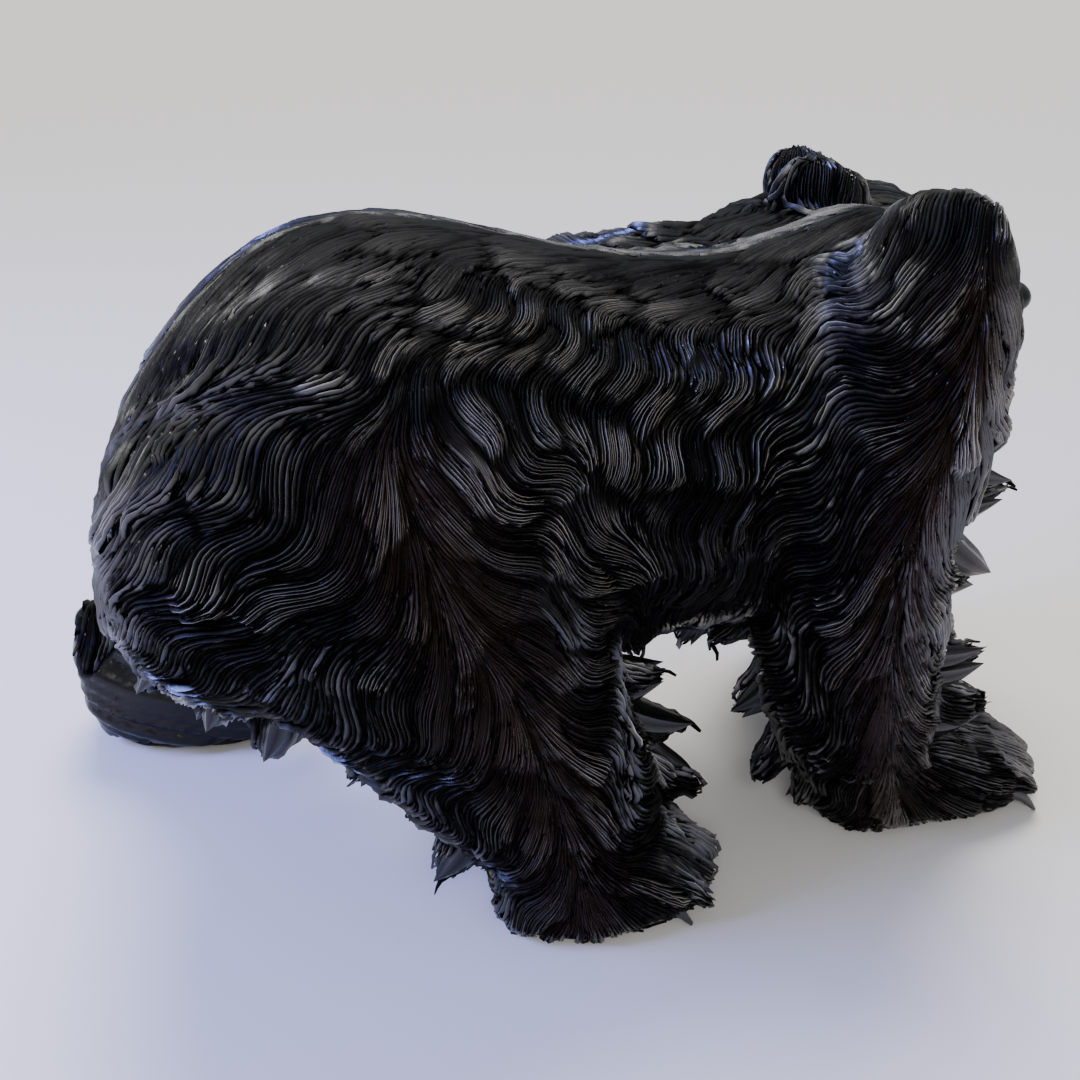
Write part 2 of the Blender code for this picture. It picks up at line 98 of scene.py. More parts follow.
LEFT_HIND_PAW = [
    (-61.2, 24.6, 11, 4.4, 5, 5), (-60.2, 24.5, 9.5, 6.6, 7.6, 8.4), (-56.5, 24, 7.5, 7.8, 10, 10.4),
    (-48, 22.6, 5, 8.0, 9, 12), (-42, 21.7, 3.5, 7.3, 6.4, 8), (-37.5, 21, 2, 4.5, 3.5, 5),
]
LEFT_FORELEG = [
    (13, 12, 57, 8, 6, 6), (16.5, 15, 50, 11, 8, 9), (22.5, 17, 38, 10, 8, 9), (27.5, 18.5, 25, 8.8, 7, 8),
    (32, 19, 12, 8.2, 6.5, 7.5), (34.5, 19, 3, 7.6, 6.6, 7), (35, 19, -3, 7.2, 6.4, 6.6),
]
LEFT_FORE_PAW = [
    (29, 19, 3, 3.4, 5, 8), (34, 19, 4, 6.2, 8, 9), (40, 19, 4.5, 6.9, 7.5, 9),
    (47, 19, 3.5, 6.9, 5.8, 8), (51.5, 19, 2.5, 5.6, 4.2, 6), (54, 19, 2, 3, 2.4, 4),
]
RIGHT_EAR = [
    (26.4, 17.8, 54, 4.6, 3.4, 3.4), (26.0, 17.2, 58.5, 5.4, 3.2, 3.2), (25.9, 16.8, 61.5, 5.7, 2.8, 2.8),
    (26.1, 16.4, 64, 4.8, 2.3, 2.3), (26.5, 16.2, 65.4, 3.0, 1.5, 1.5),
]
LEFT_EAR = [
    (29.0, 26.4, 54, 4.4, 3.4, 3.4), (29.0, 27.0, 58.5, 4.8, 3.2, 3.2), (29.0, 27.4, 61.3, 4.8, 2.8, 2.8),
    (29.3, 27.8, 63.6, 3.8, 2.3, 2.3), (29.6, 28.0, 64.8, 2.2, 1.4, 1.4),
]
PAWS = (RIGHT_FORE_PAW, RIGHT_HIND_PAW, LEFT_HIND_PAW, LEFT_FORE_PAW)
TOE_REACH = 9.0
TOE_GAP = 2.5
TOE_HALF = 1.75
# A tuft is tip x, y, z, the way it points in the side view in degrees, length, breadth.
TUFTS = [
    (-0.7, -13, 23.1, -15, 6.5, 3.4), (1.8, -13, 16.6, -25, 7, 4.2), (3.4, -14, 9.0, -35, 6, 3.8),
    (-31.7, -15, 17.5, -115, 6.5, 4.6), (-26.6, -16, 13.5, -120, 5.5, 4.2), (-24.2, -16, 5.0, -112, 7, 4.8),
    (-50.5, -7, 31.5, -105, 5, 3.4), (-48.6, -9, 26.6, -108, 6, 4), (-44.1, -9, 21.8, -104, 6, 4.6),
    (-39.3, -10, 18.6, -100, 6, 5), (32.9, -13, 39.6, -12, 8, 4.2), (31.2, -14, 30.5, -32, 7, 4.8),
    (33.6, -14, 21.1, -8, 7, 3.8), (35.4, -14, 14.0, -22, 7, 4.4), (5.6, -9, 22.8, -120, 8, 5.2),
    (8.6, -10, 14.6, -128, 8.5, 6.4), (11.4, -11, 6.2, -118, 8, 5.6), (15.8, -12.5, 2.4, -108, 6.5, 4.8),
    (-1.6, -8, 22.4, -80, 5, 3.4), (2.6, -8, 23.0, -96, 5, 3.4), (-22.5, 18, 21.5, -24, 7, 4.2),
    (-29.5, 20, 12.5, -30, 7, 4.4), (-53.5, 19, 27.5, -138, 6, 4.2), (-47.5, 14, 23.0, -118, 6, 4.4),
    (-36.0, 13, 20.0, -96, 6, 4.6), (34.5, 17, 34.5, -18, 7.5, 4.2), (38.5, 18, 25.0, -24, 7, 4.6),
    (42.0, 19, 15.5, -22, 7, 4.2), (10.5, 16, 23.0, -122, 8, 5.2), (16.5, 17, 14.5, -126, 8, 6),
    (21.8, 18, 6.5, -118, 7.5, 5.4), (-8.0, 9, 21.8, -92, 5, 3.6), (4.0, 7, 22.6, -88, 5, 3.6),
    (33.5, -4, 24.5, -78, 7, 4.6), (36.0, 3, 27.0, -70, 7, 4.6), (29.0, 4, 22.5, -86, 6.5, 4.4),
]


def through(stations, per_span):
    """Rows on a smooth Catmull-Rom curve: each span blends its four nearest stations."""
    rows = np.array(stations, float)
    padded = np.vstack([2 * rows[0] - rows[1], rows, 2 * rows[-1] - rows[-2]])
    a, b, c, d = (padded[k : len(rows) - 1 + k, None] for k in range(4))
    t = np.linspace(0, 1, per_span, endpoint=False)[None, :, None]
    cubic = 2 * b + (c - a) * t + (2 * a - 5 * b + 4 * c - d) * t**2 + (3 * b - a - 3 * c + d) * t**3
    return np.vstack([0.5 * cubic.reshape(-1, rows.shape[1]), rows[-1]])


def closed_tube(rings, first, last):
    """Corners, quads and end triangles of a tube of rings that is closed by a point at each end."""
    count, sides = rings.shape[:2]
    corners = np.vstack([rings.reshape(-1, 3), first, last])
    k = np.arange(sides)
    nxt = (k + 1) % sides
    base = (np.arange(count - 1) * sides)[:, None]
    quads = np.stack([base + k, base + nxt, base + sides + nxt, base + sides + k], axis=-1).reshape(-1, 4)
    top = (count - 1) * sides
    ends = np.vstack([
        np.stack([nxt, k, np.full(sides, count * sides)], axis=-1),
        np.stack([top + k, top + nxt, np.full(sides, count * sides + 1)], axis=-1),
    ])
    return corners, quads, ends


def mass(stations, up=(0, 0, 1), upright=False, sides=28, per_span=4):
    """A rounded mass: an egg-shaped ring, taller above than below, carried along its stations."""
    rows = through(stations, per_span)
    rows[:, 3] = np.maximum(rows[:, 3], 0.3)
    ways = np.gradient(rows[:, :3], axis=0)
    ways /= np.linalg.norm(ways, axis=1)[:, None]
    if upright:
        ways[:] = (1, 0, 0)
    side = np.cross(np.array(up, float), ways)
    side /= np.linalg.norm(side, axis=1)[:, None]
    rise = np.cross(ways, side)
    angle = np.linspace(0, 2 * math.pi, sides, endpoint=False)
    c, s = np.cos(angle), np.sin(angle)
    tall = np.where(s[None] > 0, rows[:, 4:5], rows[:, 5:6]) * s[None]
    rings = rows[:, None, :3] + side[:, None] * (rows[:, 3:4] * c)[..., None]
    rings = rings + rise[:, None] * tall[..., None]
    middle = rings.mean(axis=1)
    return closed_tube(rings, middle[0] - ways[0] * 0.3, middle[-1] + ways[-1] * 0.3)


def leaning(angle):
    """Direction at an angle in the side view, and the upward direction square to it."""
    way = np.array((math.cos(angle), 0, math.sin(angle)))
    across = np.array((-way[2], 0, way[0]))
    return way, -across if across[2] < 0 else across


def tuft_axis(row):
    """Centres and widths of a tuft: it curls up towards its tip, which is the row's point."""
    tip, length, half = np.array(row[:3], float), row[4], row[5] / 2
    way, across = leaning(math.radians(row[3]))
    t = np.array((-0.5, 0, 0.4, 0.75, 1))[:, None]
    wide = half * np.array((1.5, 1.35, 1.05, 0.62, 0.16))[:, None]
    thick = np.array((2.4, 2.2, 1.8, 1.2, 0.45))[:, None]
    centres = tip + way * length * (t - 1) - across * length * 0.14 * (1 - t * t)
    return np.hstack([centres, wide, thick, thick])


def gather(parts):
    """Joins corners, quads and triangles of several shapes into one set."""
    shift = np.cumsum([0] + [len(p[0]) for p in parts[:-1]])
    return tuple(
        np.vstack([p[k] + (s if k else 0) for p, s in zip(parts, shift)]) for k in range(3)
    )


def mesh_of(name, corners, *face_sets):
    """A mesh from whole arrays: corners, then faces of three or four corners each."""
    mesh = bpy.data.meshes.new(name)
    mesh.vertices.add(len(corners))
    mesh.vertices.foreach_set("co", np.asarray(corners, np.float32).ravel())
    sizes = np.concatenate([np.full(len(f), f.shape[1]) for f in face_sets])
    mesh.loops.add(int(sizes.sum()))
    mesh.loops.foreach_set("vertex_index", np.concatenate([f.ravel() for f in face_sets]).astype(np.int32))
    mesh.polygons.add(len(sizes))
    mesh.polygons.foreach_set("loop_start", (np.cumsum(sizes) - sizes).astype(np.int32))
    mesh.update(calc_edges=True)
    return mesh


def read(mesh, what, field, width, kind=np.float32):
    """One field of a mesh as a whole array."""
    values = np.zeros(len(what) * width, kind)
    what.foreach_get(field, values)
    return values.reshape(-1, width) if width > 1 else values


def in_scene(name, data):
    """A new object of the scene that holds a mesh, a light or a camera."""
    thing = bpy.data.objects.new(name, data)
    bpy.context.scene.collection.objects.link(thing)
    return thing


def melted(name, shapes, grid, rounds):
    """Overlapping closed shapes melted into one skin on a fine grid and smoothed."""
    thing = in_scene(name, mesh_of(name, *shapes))
    remesh = thing.modifiers.new("melt", "REMESH")
    remesh.mode = "VOXEL"
    remesh.voxel_size = grid
    soften = thing.modifiers.new("soften", "SMOOTH")
    soften.factor = 0.5
    soften.iterations = rounds
    made = bpy.data.meshes.new_from_object(thing.evaluated_get(bpy.context.evaluated_depsgraph_get()))
    bpy.data.objects.remove(thing)
    return made


limbs = [mass(limb, up=(0, 1, 0)) for limb in (RIGHT_FORELEG, RIGHT_HIND, LEFT_HIND, LEFT_FORELEG)]
paws = [mass(paw, upright=True) for paw in PAWS]
trunk = [mass(TORSO, upright=True), mass(LEFT_BACK), mass(NECK_HEAD)]
rough = melted("rough", gather(trunk + limbs + paws), BODY_GRID, BODY_ROUNDS)
rough.calc_loop_triangles()
rough_shape = (
    read(rough, rough.vertices, "co", 3),
    np.zeros((0, 4), int),
    read(rough, rough.loop_triangles, "vertices", 3, np.int32),
)
ears = [mass(ear, up=(0, 1, 0)) for ear in (RIGHT_EAR, LEFT_EAR)]


def toe(paw, k):
    """One of a paw's five toes: an egg that lies half sunk along the paw's rounded top."""
    rows = np.array(paw, float)
    tip = rows[-1, 0] + 0.6 - 0.5 * k * k
    x = np.linspace(tip - TOE_REACH, tip, 6)
    y = rows[-3, 1] + TOE_GAP * k * np.linspace(0.85, 1.08, 6)
    wide, tall, middle = (np.interp(x, rows[:, 0], rows[:, j]) for j in (3, 4, 2))
    sunk = tall * np.sqrt(np.clip(1 - ((y - rows[-3, 1]) / wide) ** 2, 0.05, 1))
    half = TOE_HALF * np.array((0.5, 0.85, 1, 1, 0.85, 0.4))
    z = np.maximum(middle + sunk - 1.0, 1.6)
    return mass(np.stack([x, y, z, half, half, half * 1.3], axis=1), upright=True, sides=14)


toes = [toe(paw, k) for paw in PAWS for k in range(-2, 3)]
flames = [mass(tuft_axis(row), up=(0, 1, 0), sides=12) for row in TUFTS]
skin = melted("skin", gather([rough_shape] + ears + toes + flames), FUR_GRID, FUR_ROUNDS)
# The skin is cut flat at the floor, and the four soles are closed.
bm = bmesh.new()
bm.from_mesh(skin)
parts = bm.verts[:] + bm.edges[:] + bm.faces[:]
bmesh.ops.bisect_plane(bm, geom=parts, dist=1e-6, plane_co=(0, 0, 0), plane_no=(0, 0, 1), clear_inner=True)
soles = bmesh.ops.holes_fill(bm, edges=[edge for edge in bm.edges if edge.is_boundary])["faces"]
bmesh.ops.triangulate(bm, faces=soles)
bmesh.ops.recalc_face_normals(bm, faces=bm.faces)
bm.to_mesh(skin)
bm.free()


# The run of the fur
# The carver lays every hair out from a line: the spine, and a line down the outside of
# each leg. It leaves the line at a slant, swings out and down and waves on its way.
SPINE_HEIGHT = 41.0
TORSO_RADIUS = 20.0
WAVE_LENGTH = 9.8
WAVE = 2 * math.pi / WAVE_LENGTH
SWING = 0.82
HIND_LINE = [
    (-27, -10, 56, 12, 6, 6), (-25, -13, 46, 15, 9, 9), (-21.8, -14.5, 37.5, 15, 9, 10),
    (-18.4, -15.2, 31, 14, 8, 9), (-15.4, -15.8, 22, 12, 8, 9), (-13, -16.5, 12, 9.6, 7, 8),
    (-12, -17, 3, 8.6, 7.0, 7.5), (-12, -17, -3, 8.4, 7.0, 7),
]
# A leg is its line, the side it is on and how the hair leans behind and before the line,
# each at the leg's top and bottom.
LEGS = (
    (RIGHT_FORELEG, -1, (0.95, 1.7), (1.3, 1.5)), (HIND_LINE, -1, (0.7, 0.85), (1.7, 1.4)),
    (LEFT_FORELEG, 1, (0.95, 1.7), (1.3, 1.5)), (LEFT_HIND, 1, (0.7, 0.85), (1.7, 1.4)),
)
EYES = [(44.2, 15.5, 52.2), (45.8, 25.3, 52.2)]
NOSE = (54.2, 18.8, 48.3)
ANKLES = ((24, -11, 9), (-12, -17, 9), (-48, 23, 9), (33, 19, 9))
rng = np.random.default_rng(7)


def fade(value, full, none):
    """1 at full and beyond it, 0 at none and beyond it, smooth between."""
    t = np.clip((value - none) / (full - none), 0, 1)
    return t * t * (3 - 2 * t)


def unit(v):
    """Each vector divided by its own length."""
    return v / np.maximum(np.linalg.norm(v, axis=-1, keepdims=True), 1e-9)


def nearest_on(points, rows):
    """Length along a path, offset from it, its direction, distance over radius and half widths."""
    a, b = rows[:-1, :3], rows[1:, :3]
    span = b - a
    long = np.linalg.norm(span, axis=1)
    start = np.concatenate(([0], np.cumsum(long)[:-1]))
    best = np.full(len(points), 1e9)
    along, radius = np.zeros(len(points)), np.ones(len(points))
    offset, way = np.zeros((len(points), 3)), np.zeros((len(points), 3))
    halves = np.ones((len(points), 2))
    for k in range(len(a)):
        t = np.clip(((points - a[k]) @ span[k]) / long[k] ** 2, 0, 1)
        off = points - (a[k] + t[:, None] * span[k])
        far = np.linalg.norm(off, axis=1)
        closer = far < best
        best[closer], offset[closer] = far[closer], off[closer]
        along[closer] = start[k] + t[closer] * long[k]
        way[closer] = span[k] / long[k]
        radius[closer] = (rows[k, 3] + rows[k, 4] + rows[k, 5]) / 3
        halves[closer] = (rows[k, 3], (rows[k, 4] + rows[k, 5]) / 2)
    return along, offset, way, best / radius, halves


def noise(p, size, seed):
    """Smooth noise from -1 to 1: sines of random slanted waves, added up."""
    dice = np.random.default_rng(seed)
    ways = unit(dice.normal(size=(9, 3))) / size * dice.uniform(0.6, 1.5, (9, 1)) * 2 * math.pi
    return np.sin(p @ ways.T + dice.uniform(0, 6.28, 9)).sum(axis=1) / 4.2


def combed(first, second, lean, phase, swing):
    """Direction between two: the angle whose tangent is lean, swung to and fro in waves."""
    angle = np.arctan(lean) + swing * np.cos(phase)
    return np.cos(angle)[:, None] * first + np.sin(angle)[:, None] * second


def mixed(first, second, share):
    """Directions between two: each goes over from the first to the second by its share."""
    return unit(first * (1 - share) + second * share)


def round_the_body(p):
    """Way down from the spine: the angle about the body's middle line times its radius."""
    return np.arctan2(np.abs(p[:, 1]), p[:, 2] - SPINE_HEIGHT) * TORSO_RADIUS


def body_way(p, drift):
    """The body's fur: down from the spine in waves, but hanging at the rump and the chest."""
    arc = round_the_body(p)
    down = np.stack([0 * arc, np.sign(p[:, 1]) * (p[:, 2] - SPINE_HEIGHT), -np.abs(p[:, 1])], axis=1)
    rump = fade(p[:, 0], -36, -14)
    lean = 3.2 * np.exp(-arc / 8) + 0.18 + 0.95 * rump * fade(-arc, -14, -4)
    swing = SWING * fade(-arc, -12, -3) * (0.75 + 0.25 * noise(p, 16, 8))
    phase = WAVE * (arc - 0.35 * p[:, 0]) + drift
    way = combed(unit(down), np.array((-1.0, 0, 0)), lean, phase, swing)
    aslant = np.where(p[:, 0] < 0, 0.35, 0) - 0.03 * p[:, 1]
    hang_phase = WAVE * (p[:, 2] + 0.3 * p[:, 1]) + drift
    hang = combed(np.array((0, 0, -1.0)), np.array((0, 1.0, 0)), aslant, hang_phase, 0.95 * swing)
    ends = np.clip(fade(p[:, 0], -52, -45) + fade(-p[:, 0], -31, -25), 0, 1)[:, None]
    return mixed(way, hang, ends)


def leg_way(p, drift, limb, outer, rear_lean, front_lean):
    """A leg's fur, off to both sides of its outer middle line, its share there and the line."""
    along, offset, axis, far, halves = nearest_on(p, through(limb, 4))
    side = unit(np.cross(axis, (0, 1, 0)))
    wide, thick = halves.T
    turn = np.arctan2((offset * side).sum(axis=1) / wide, outer * offset[:, 1] / thick)
    away = np.abs(turn) * (wide + thick) / 2
    round_it = (wide * np.cos(turn))[:, None] * side
    round_it = unit(round_it - (thick * np.sin(turn))[:, None] * np.array((0, float(outer), 0)))
    high, low = np.where((turn < 0)[:, None], rear_lean, front_lean).T
    lean = 3.2 * np.exp(-away / 1.7) + high + (low - high) * fade(-along, -42, -16)
    swing = 1.2 * SWING * fade(-away, -7, -2) * (0.8 + 0.2 * noise(p, 16, 9))
    phase = WAVE * (0.75 * away + 0.6 * along) + drift
    comb = combed(np.sign(turn)[:, None] * round_it, axis, lean, phase, swing)
    weight = fade(far, 1.2, 1.6) * fade(-along, -9, -1)
    return comb, weight, weight * np.exp(-((away / 4.2) ** 2)) * fade(-along, -9, -1)


def fur_way(p):
    """Direction of the hair, root to tip, how near a leg's middle line it is and if it is on a leg."""
    drift = 1.1 * noise(p, 24, 3)
    way = body_way(p, drift)
    middle, on_leg = np.zeros(len(p)), np.zeros(len(p))
    for leg in LEGS:
        comb, weight, line = leg_way(p, drift, *leg)
        way = mixed(way, comb, weight[:, None])
        on_leg = np.maximum(on_leg, weight)
        middle = np.maximum(middle * (1 - weight), line)
    along, offset, axis, far = nearest_on(p, through(NECK_HEAD, 4))[:4]
    round_it = np.cross(unit(offset), axis)
    comb = unit(-axis + 0.35 * np.cos(WAVE * along)[:, None] * round_it + np.array((0, 0, -0.35)))
    weight = (fade(far, 1.15, 1.45) * fade(-along, -17, -8))[:, None]
    way = mixed(way, comb, weight)
    for paw, ankle in zip(PAWS, ANKLES):
        far = nearest_on(p, through(paw, 4))[3]
        weight = fade(far, 1.15, 1.5) * fade(-p[:, 0], -ankle[0] - 6, -ankle[0]) * fade(p[:, 2], 11, 15)
        fan = unit(p - ankle + 0.6 * np.sin(p[:, 1:2] * 1.1) * (0, 1, 0))
        way = mixed(way, fan, weight[:, None])
    for ear in (RIGHT_EAR, LEFT_EAR):
        offset, axis, far = nearest_on(p, through(ear, 4))[1:4]
        weight = (fade(far, 1.3, 1.9) * fade(-p[:, 2], -57, -54.5))[:, None]
        way = mixed(way, unit(axis + 0.25 * unit(offset)), weight)
    for row in TUFTS:
        path = tuft_axis(row)
        close = np.linalg.norm(p - path[2, :3], axis=1) < row[4] * 1.3
        axis, far = nearest_on(p[close], path)[2:4]
        weight = fade(far, 1.0, 2.0)[:, None]
        way[close] = mixed(way[close], axis, weight)
    return way, middle, on_leg


def ear_hollow(p):
    """1 in the middle of each ear's opening, which faces outwards, fading around it."""
    deep = np.zeros(len(p))
    for ear, outer in ((RIGHT_EAR, -1), (LEFT_EAR, 1)):
        d = p - np.array(ear[2][:3]) - (0, 1.5 * outer, -0.6)
        hollow = np.exp(-((d[:, 0] / 3.3) ** 4) - (d[:, 2] / 2.3) ** 4 - (d[:, 1] / 2.2) ** 2)
        deep = np.maximum(deep, hollow * (outer * d[:, 1] > -1.4))
    return deep


def bare(p):
    """1 where the wood is left smooth: the raised heel, the soles, the eyes and the nose."""
    smooth = np.zeros(len(p))
    foot = nearest_on(p, through(LEFT_HIND_PAW, 4))[3] + 0.09 * noise(p, 5, 41)
    smooth = np.maximum(smooth, fade(foot, 1.1, 1.28))
    for eye in EYES:
        smooth = np.maximum(smooth, fade(np.linalg.norm(p - eye, axis=1), 1.7, 2.1))
    smooth = np.maximum(smooth, fade(np.linalg.norm(p - NOSE, axis=1), 3.2, 4.0))
    return np.maximum(smooth, fade(p[:, 2], 0.1, 0.3))


ground = read(skin, skin.vertices, "co", 3).astype(float)
out = unit(read(skin, skin.vertices, "normal", 3).astype(float))
edges = read(skin, skin.edges, "vertices", 2, np.int32)
way, middle_line, on_leg = fur_way(ground)
# The directions are laid flat on the skin and averaged with their neighbours' in turn.
for _ in range(8):
    way = unit(way - (way * out).sum(axis=1)[:, None] * out)
    total = way.copy()
    for k in range(3):
        total[:, k] += 0.5 * np.bincount(edges[:, 0], way[edges[:, 1], k], len(way))
        total[:, k] += 0.5 * np.bincount(edges[:, 1], way[edges[:, 0], k], len(way))
    way = unit(total)
way = unit(way - (way * out).sum(axis=1)[:, None] * out)
smooth_wood = bare(ground)

# Cells of a grid around the skin that hold the number of the nearest corner.
CELL = 0.42
low = ground.min(axis=0) - 4 * CELL
size = (np.ceil((ground.max(axis=0) - low) / CELL) + 4).astype(int)
nearest = np.full(size.prod(), -1, np.int32)


def flat(cells, shape):
    """One number for each cell: its three numbers as a place in a row of all cells."""
    return (cells[:, 0] * shape[1] + cells[:, 1]) * shape[2] + cells[:, 2]


def cell_of(p, start, pitch, shape):
    """Flat number of the cell that each point is in."""
    return flat(np.clip(((p - start) / pitch).astype(int), 0, np.array(shape) - 1), shape)


def cells_around(n):
    """Steps to every cell of a cube that reaches n cells each way from its middle one."""
    return np.stack(np.meshgrid(*[np.arange(-n, n + 1)] * 3, indexing="ij"), axis=-1).reshape(-1, 3)


# Cells are filled from the farthest step to the nearest, so the nearest corner stays.
reach = cells_around(3)
reach = reach[np.argsort(-np.linalg.norm(reach, axis=1), kind="stable")]
home = cell_of(ground, low, CELL, size)
for shift in flat(reach, size):
    nearest[np.clip(home + shift, 0, len(nearest) - 1)] = np.arange(len(ground), dtype=np.int32)


def settle(p):
    """Puts points back on the skin, along its normal, and gives the nearest corner of each."""
    v = nearest[cell_of(p, low, CELL, size)]
    v = np.where(v < 0, 0, v)
    return p - out[v] * ((p - ground[v]) * out[v]).sum(axis=1)[:, None], v


STEP = 0.4


def follow(start, steps, sign):
    """Points that walk along the fur from each start, a step at a time, on the skin.

    Each step goes along the fur's direction half a step ahead. A point that would leave
    the skin stays where it is."""
    p, v = settle(start)
    made = [p]
    for _ in range(steps):
        half = settle(p + sign * 0.5 * STEP * way[v])[1]
        ahead, there = settle(p + sign * STEP * way[half])
        good = np.linalg.norm(ahead - p, axis=1) < 1.6 * STEP
        p, v = np.where(good[:, None], ahead, p), np.where(good, there, v)
        made.append(p)
    return np.stack(made, axis=1)


def both_ways(start, steps):
    """A path through each start: the walk back, turned round, and then the walk on."""
    return np.concatenate([follow(start, steps, -1)[:, :0:-1], follow(start, steps, 1)], axis=1)


# Locks of fur
# The hairs are gathered into long locks with a groove cut between each two. Every lock
# follows the fur, swells in its middle and rises towards its tip. On the upper flank the
# locks are short and narrow and lie over each other like feathers.
LOCK_WIDTH = 2.9
LOCK_LENGTH = 8.5
FEATHER_WIDTH = 0.7
FEATHER_LENGTH = 6.0
LOCK_REACH = 16
LOCK_TRIES = 16000
SOFTNESS = 0.75
LOCK_BED = 0.45
SOLE_BED = 0.4
BATCH = 1500
lock_roots = []
order = rng.permutation(np.flatnonzero(smooth_wood < 0.4))[:LOCK_TRIES]
widths = LOCK_WIDTH * (1 + 0.3 * noise(ground, 30, 5))
feathered = fade(np.abs(ground[:, 0] + 8), 20, 26) * fade(np.abs(round_the_body(ground) - 14), 9, 11)
feathered = feathered * (1 - on_leg) > 0.5
widths *= np.where(feathered, FEATHER_WIDTH, 1)
seeds = np.zeros((0, 3))
seed_ways = np.zeros((0, 3))
for v in order:
    gap = ground[v] - seeds
    run = (gap * seed_ways).sum(axis=1)
    across = np.linalg.norm(gap - run[:, None] * seed_ways, axis=1)
    length = FEATHER_LENGTH if feathered[v] else LOCK_LENGTH
    if not ((run / length) ** 2 + (across / widths[v]) ** 2 < 1).any():
        seeds = np.vstack([seeds, ground[v]])
        seed_ways = np.vstack([seed_ways, way[v]])
        lock_roots.append(v)
lock_roots = np.array(lock_roots)
lock_lines = both_ways(ground[lock_roots], LOCK_REACH)
short_locks = feathered[lock_roots][:, None, None]
lock_lines = np.where(short_locks, lock_lines[:, 10:25:2], lock_lines[:, 2:31:4]).astype(np.float32)
LOCK_POINTS = lock_lines.shape[1]
lock_tones = rng.uniform(0, 1, len(lock_lines)) ** 1.5


def lock_shape(p):
    """Height of the locks at each point, how bright the lock is there and the lock's number.

    The groove lies where the nearest two lock lines are equally far away, and the swell
    is 1 - exp(-difference / softness). It rises from the root and ends in a step at the tip."""
    lines = lock_lines.reshape(-1, 3)
    square = (lines**2).sum(axis=1)
    height, tone, number = np.zeros(len(p)), np.zeros(len(p)), np.zeros(len(p), int)
    for first in range(0, len(p), BATCH):
        some = slice(first, first + BATCH)
        q = p[some].astype(np.float32)
        far = (q**2).sum(axis=1)[:, None] + square - 2 * q @ lines.T
        far = np.sqrt(np.maximum(far, 0)).reshape(len(q), -1, LOCK_POINTS)
        place = far.argmin(axis=2)
        by_lock = far.min(axis=2)
        near = np.argpartition(by_lock, 1, axis=1)[:, :2]
        d = np.take_along_axis(by_lock, near, axis=1)
        gap = np.abs(d[:, 0] - d[:, 1])
        best = np.take_along_axis(near, d.argmin(axis=1)[:, None], axis=1)
        one = best[:, 0]
        f = np.take_along_axis(place, best, axis=1)[:, 0] / (LOCK_POINTS - 1)
        height[some] = (1 - np.exp(-gap / SOFTNESS)) * (0.45 + 0.95 * f**1.6)
        tone[some] = lock_tones[one] * (0.25 + 0.75 * f)
        number[some] = one
    return height, tone, number


def lock_depth(p):
    """How deep the grooves between locks are: shallow on the spine and head, deep low down."""
    low_down = fade(-round_the_body(p), -18, -6)
    deep = 0.26 + 0.54 * low_down * (1 - 0.3 * fade(p[:, 0], -50, -38))
    deep = np.where(p[:, 0] > 38, 0.25, deep)
    return deep * (1 + 0.25 * noise(p, 18, 11))


def lock_bed(p, swell):
    """Height of the locks over the skin, with their foot sunk; just above a sole it is even."""
    standing = fade(-p[:, 2], -2.5, -0.8)
    return (swell * lock_depth(p) - LOCK_BED) * standing - SOLE_BED * (1 - standing)


def groove(distance, width, depth):
    """A cut whose depth falls off on both sides of its line like a bell."""
    return -depth * np.exp(-((distance / width) ** 2))


HEEL_CREASES = 8
CREASE_GAP = 2.1
CREASE_WIDTH = 0.6
RIM_RADIUS, RIM_WIDTH, RIM_HEIGHT = 2.0, 0.7, 0.7
MOUTH_HEIGHT, MOUTH_WIDTH, MOUTH_DEPTH = 43.4, 0.55, 1.1


def details(p):
    """Creases of the raised heel, rims round the eyes, the mouth line and the ears' hollows."""
    cut = -1.5 * ear_hollow(p)
    heel = fade(nearest_on(p, through(LEFT_HIND_PAW, 4))[3], 1.05, 1.2)
    slant = p[:, 2] + 0.5 * (p[:, 0] + 60) - 0.008 * (p[:, 0] + 60) ** 2 + 0.35 * noise(p, 14, 31)
    for k in range(HEEL_CREASES):
        line = slant - 17.5 + CREASE_GAP * k + 0.4 * math.sin(2.4 * k)
        cut += heel * groove(line, CREASE_WIDTH, 0.6 + 0.2 * math.cos(5 * k))
    for eye in EYES:
        cut -= groove(np.linalg.norm(p - eye, axis=1) - RIM_RADIUS, RIM_WIDTH, RIM_HEIGHT)
    muzzle = fade(-p[:, 0], -46.5, -44) * fade(np.abs(p[:, 1] - 19.5), 8, 10) * fade(-p[:, 2], -40, -38)
    mouth = p[:, 2] - MOUTH_HEIGHT - 0.03 * (p[:, 0] - 50) ** 2
    return cut + muzzle * groove(mouth, MOUTH_WIDTH, MOUTH_DEPTH)


swell, tone, lock_number = lock_shape(ground)
relief = lock_bed(ground, swell) - 0.3 - 0.25 * fade(ground[:, 2], 0.4, 1.4)
relief *= 1 - np.where(ground[:, 2] < 1.5, 0, smooth_wood)
carved = ground + out * (relief + details(ground))[:, None]
carved[:, 2] = np.maximum(carved[:, 2], 0)
skin.vertices.foreach_set("co", (carved * SHARE + PLACE).astype(np.float32).ravel())
skin.update()


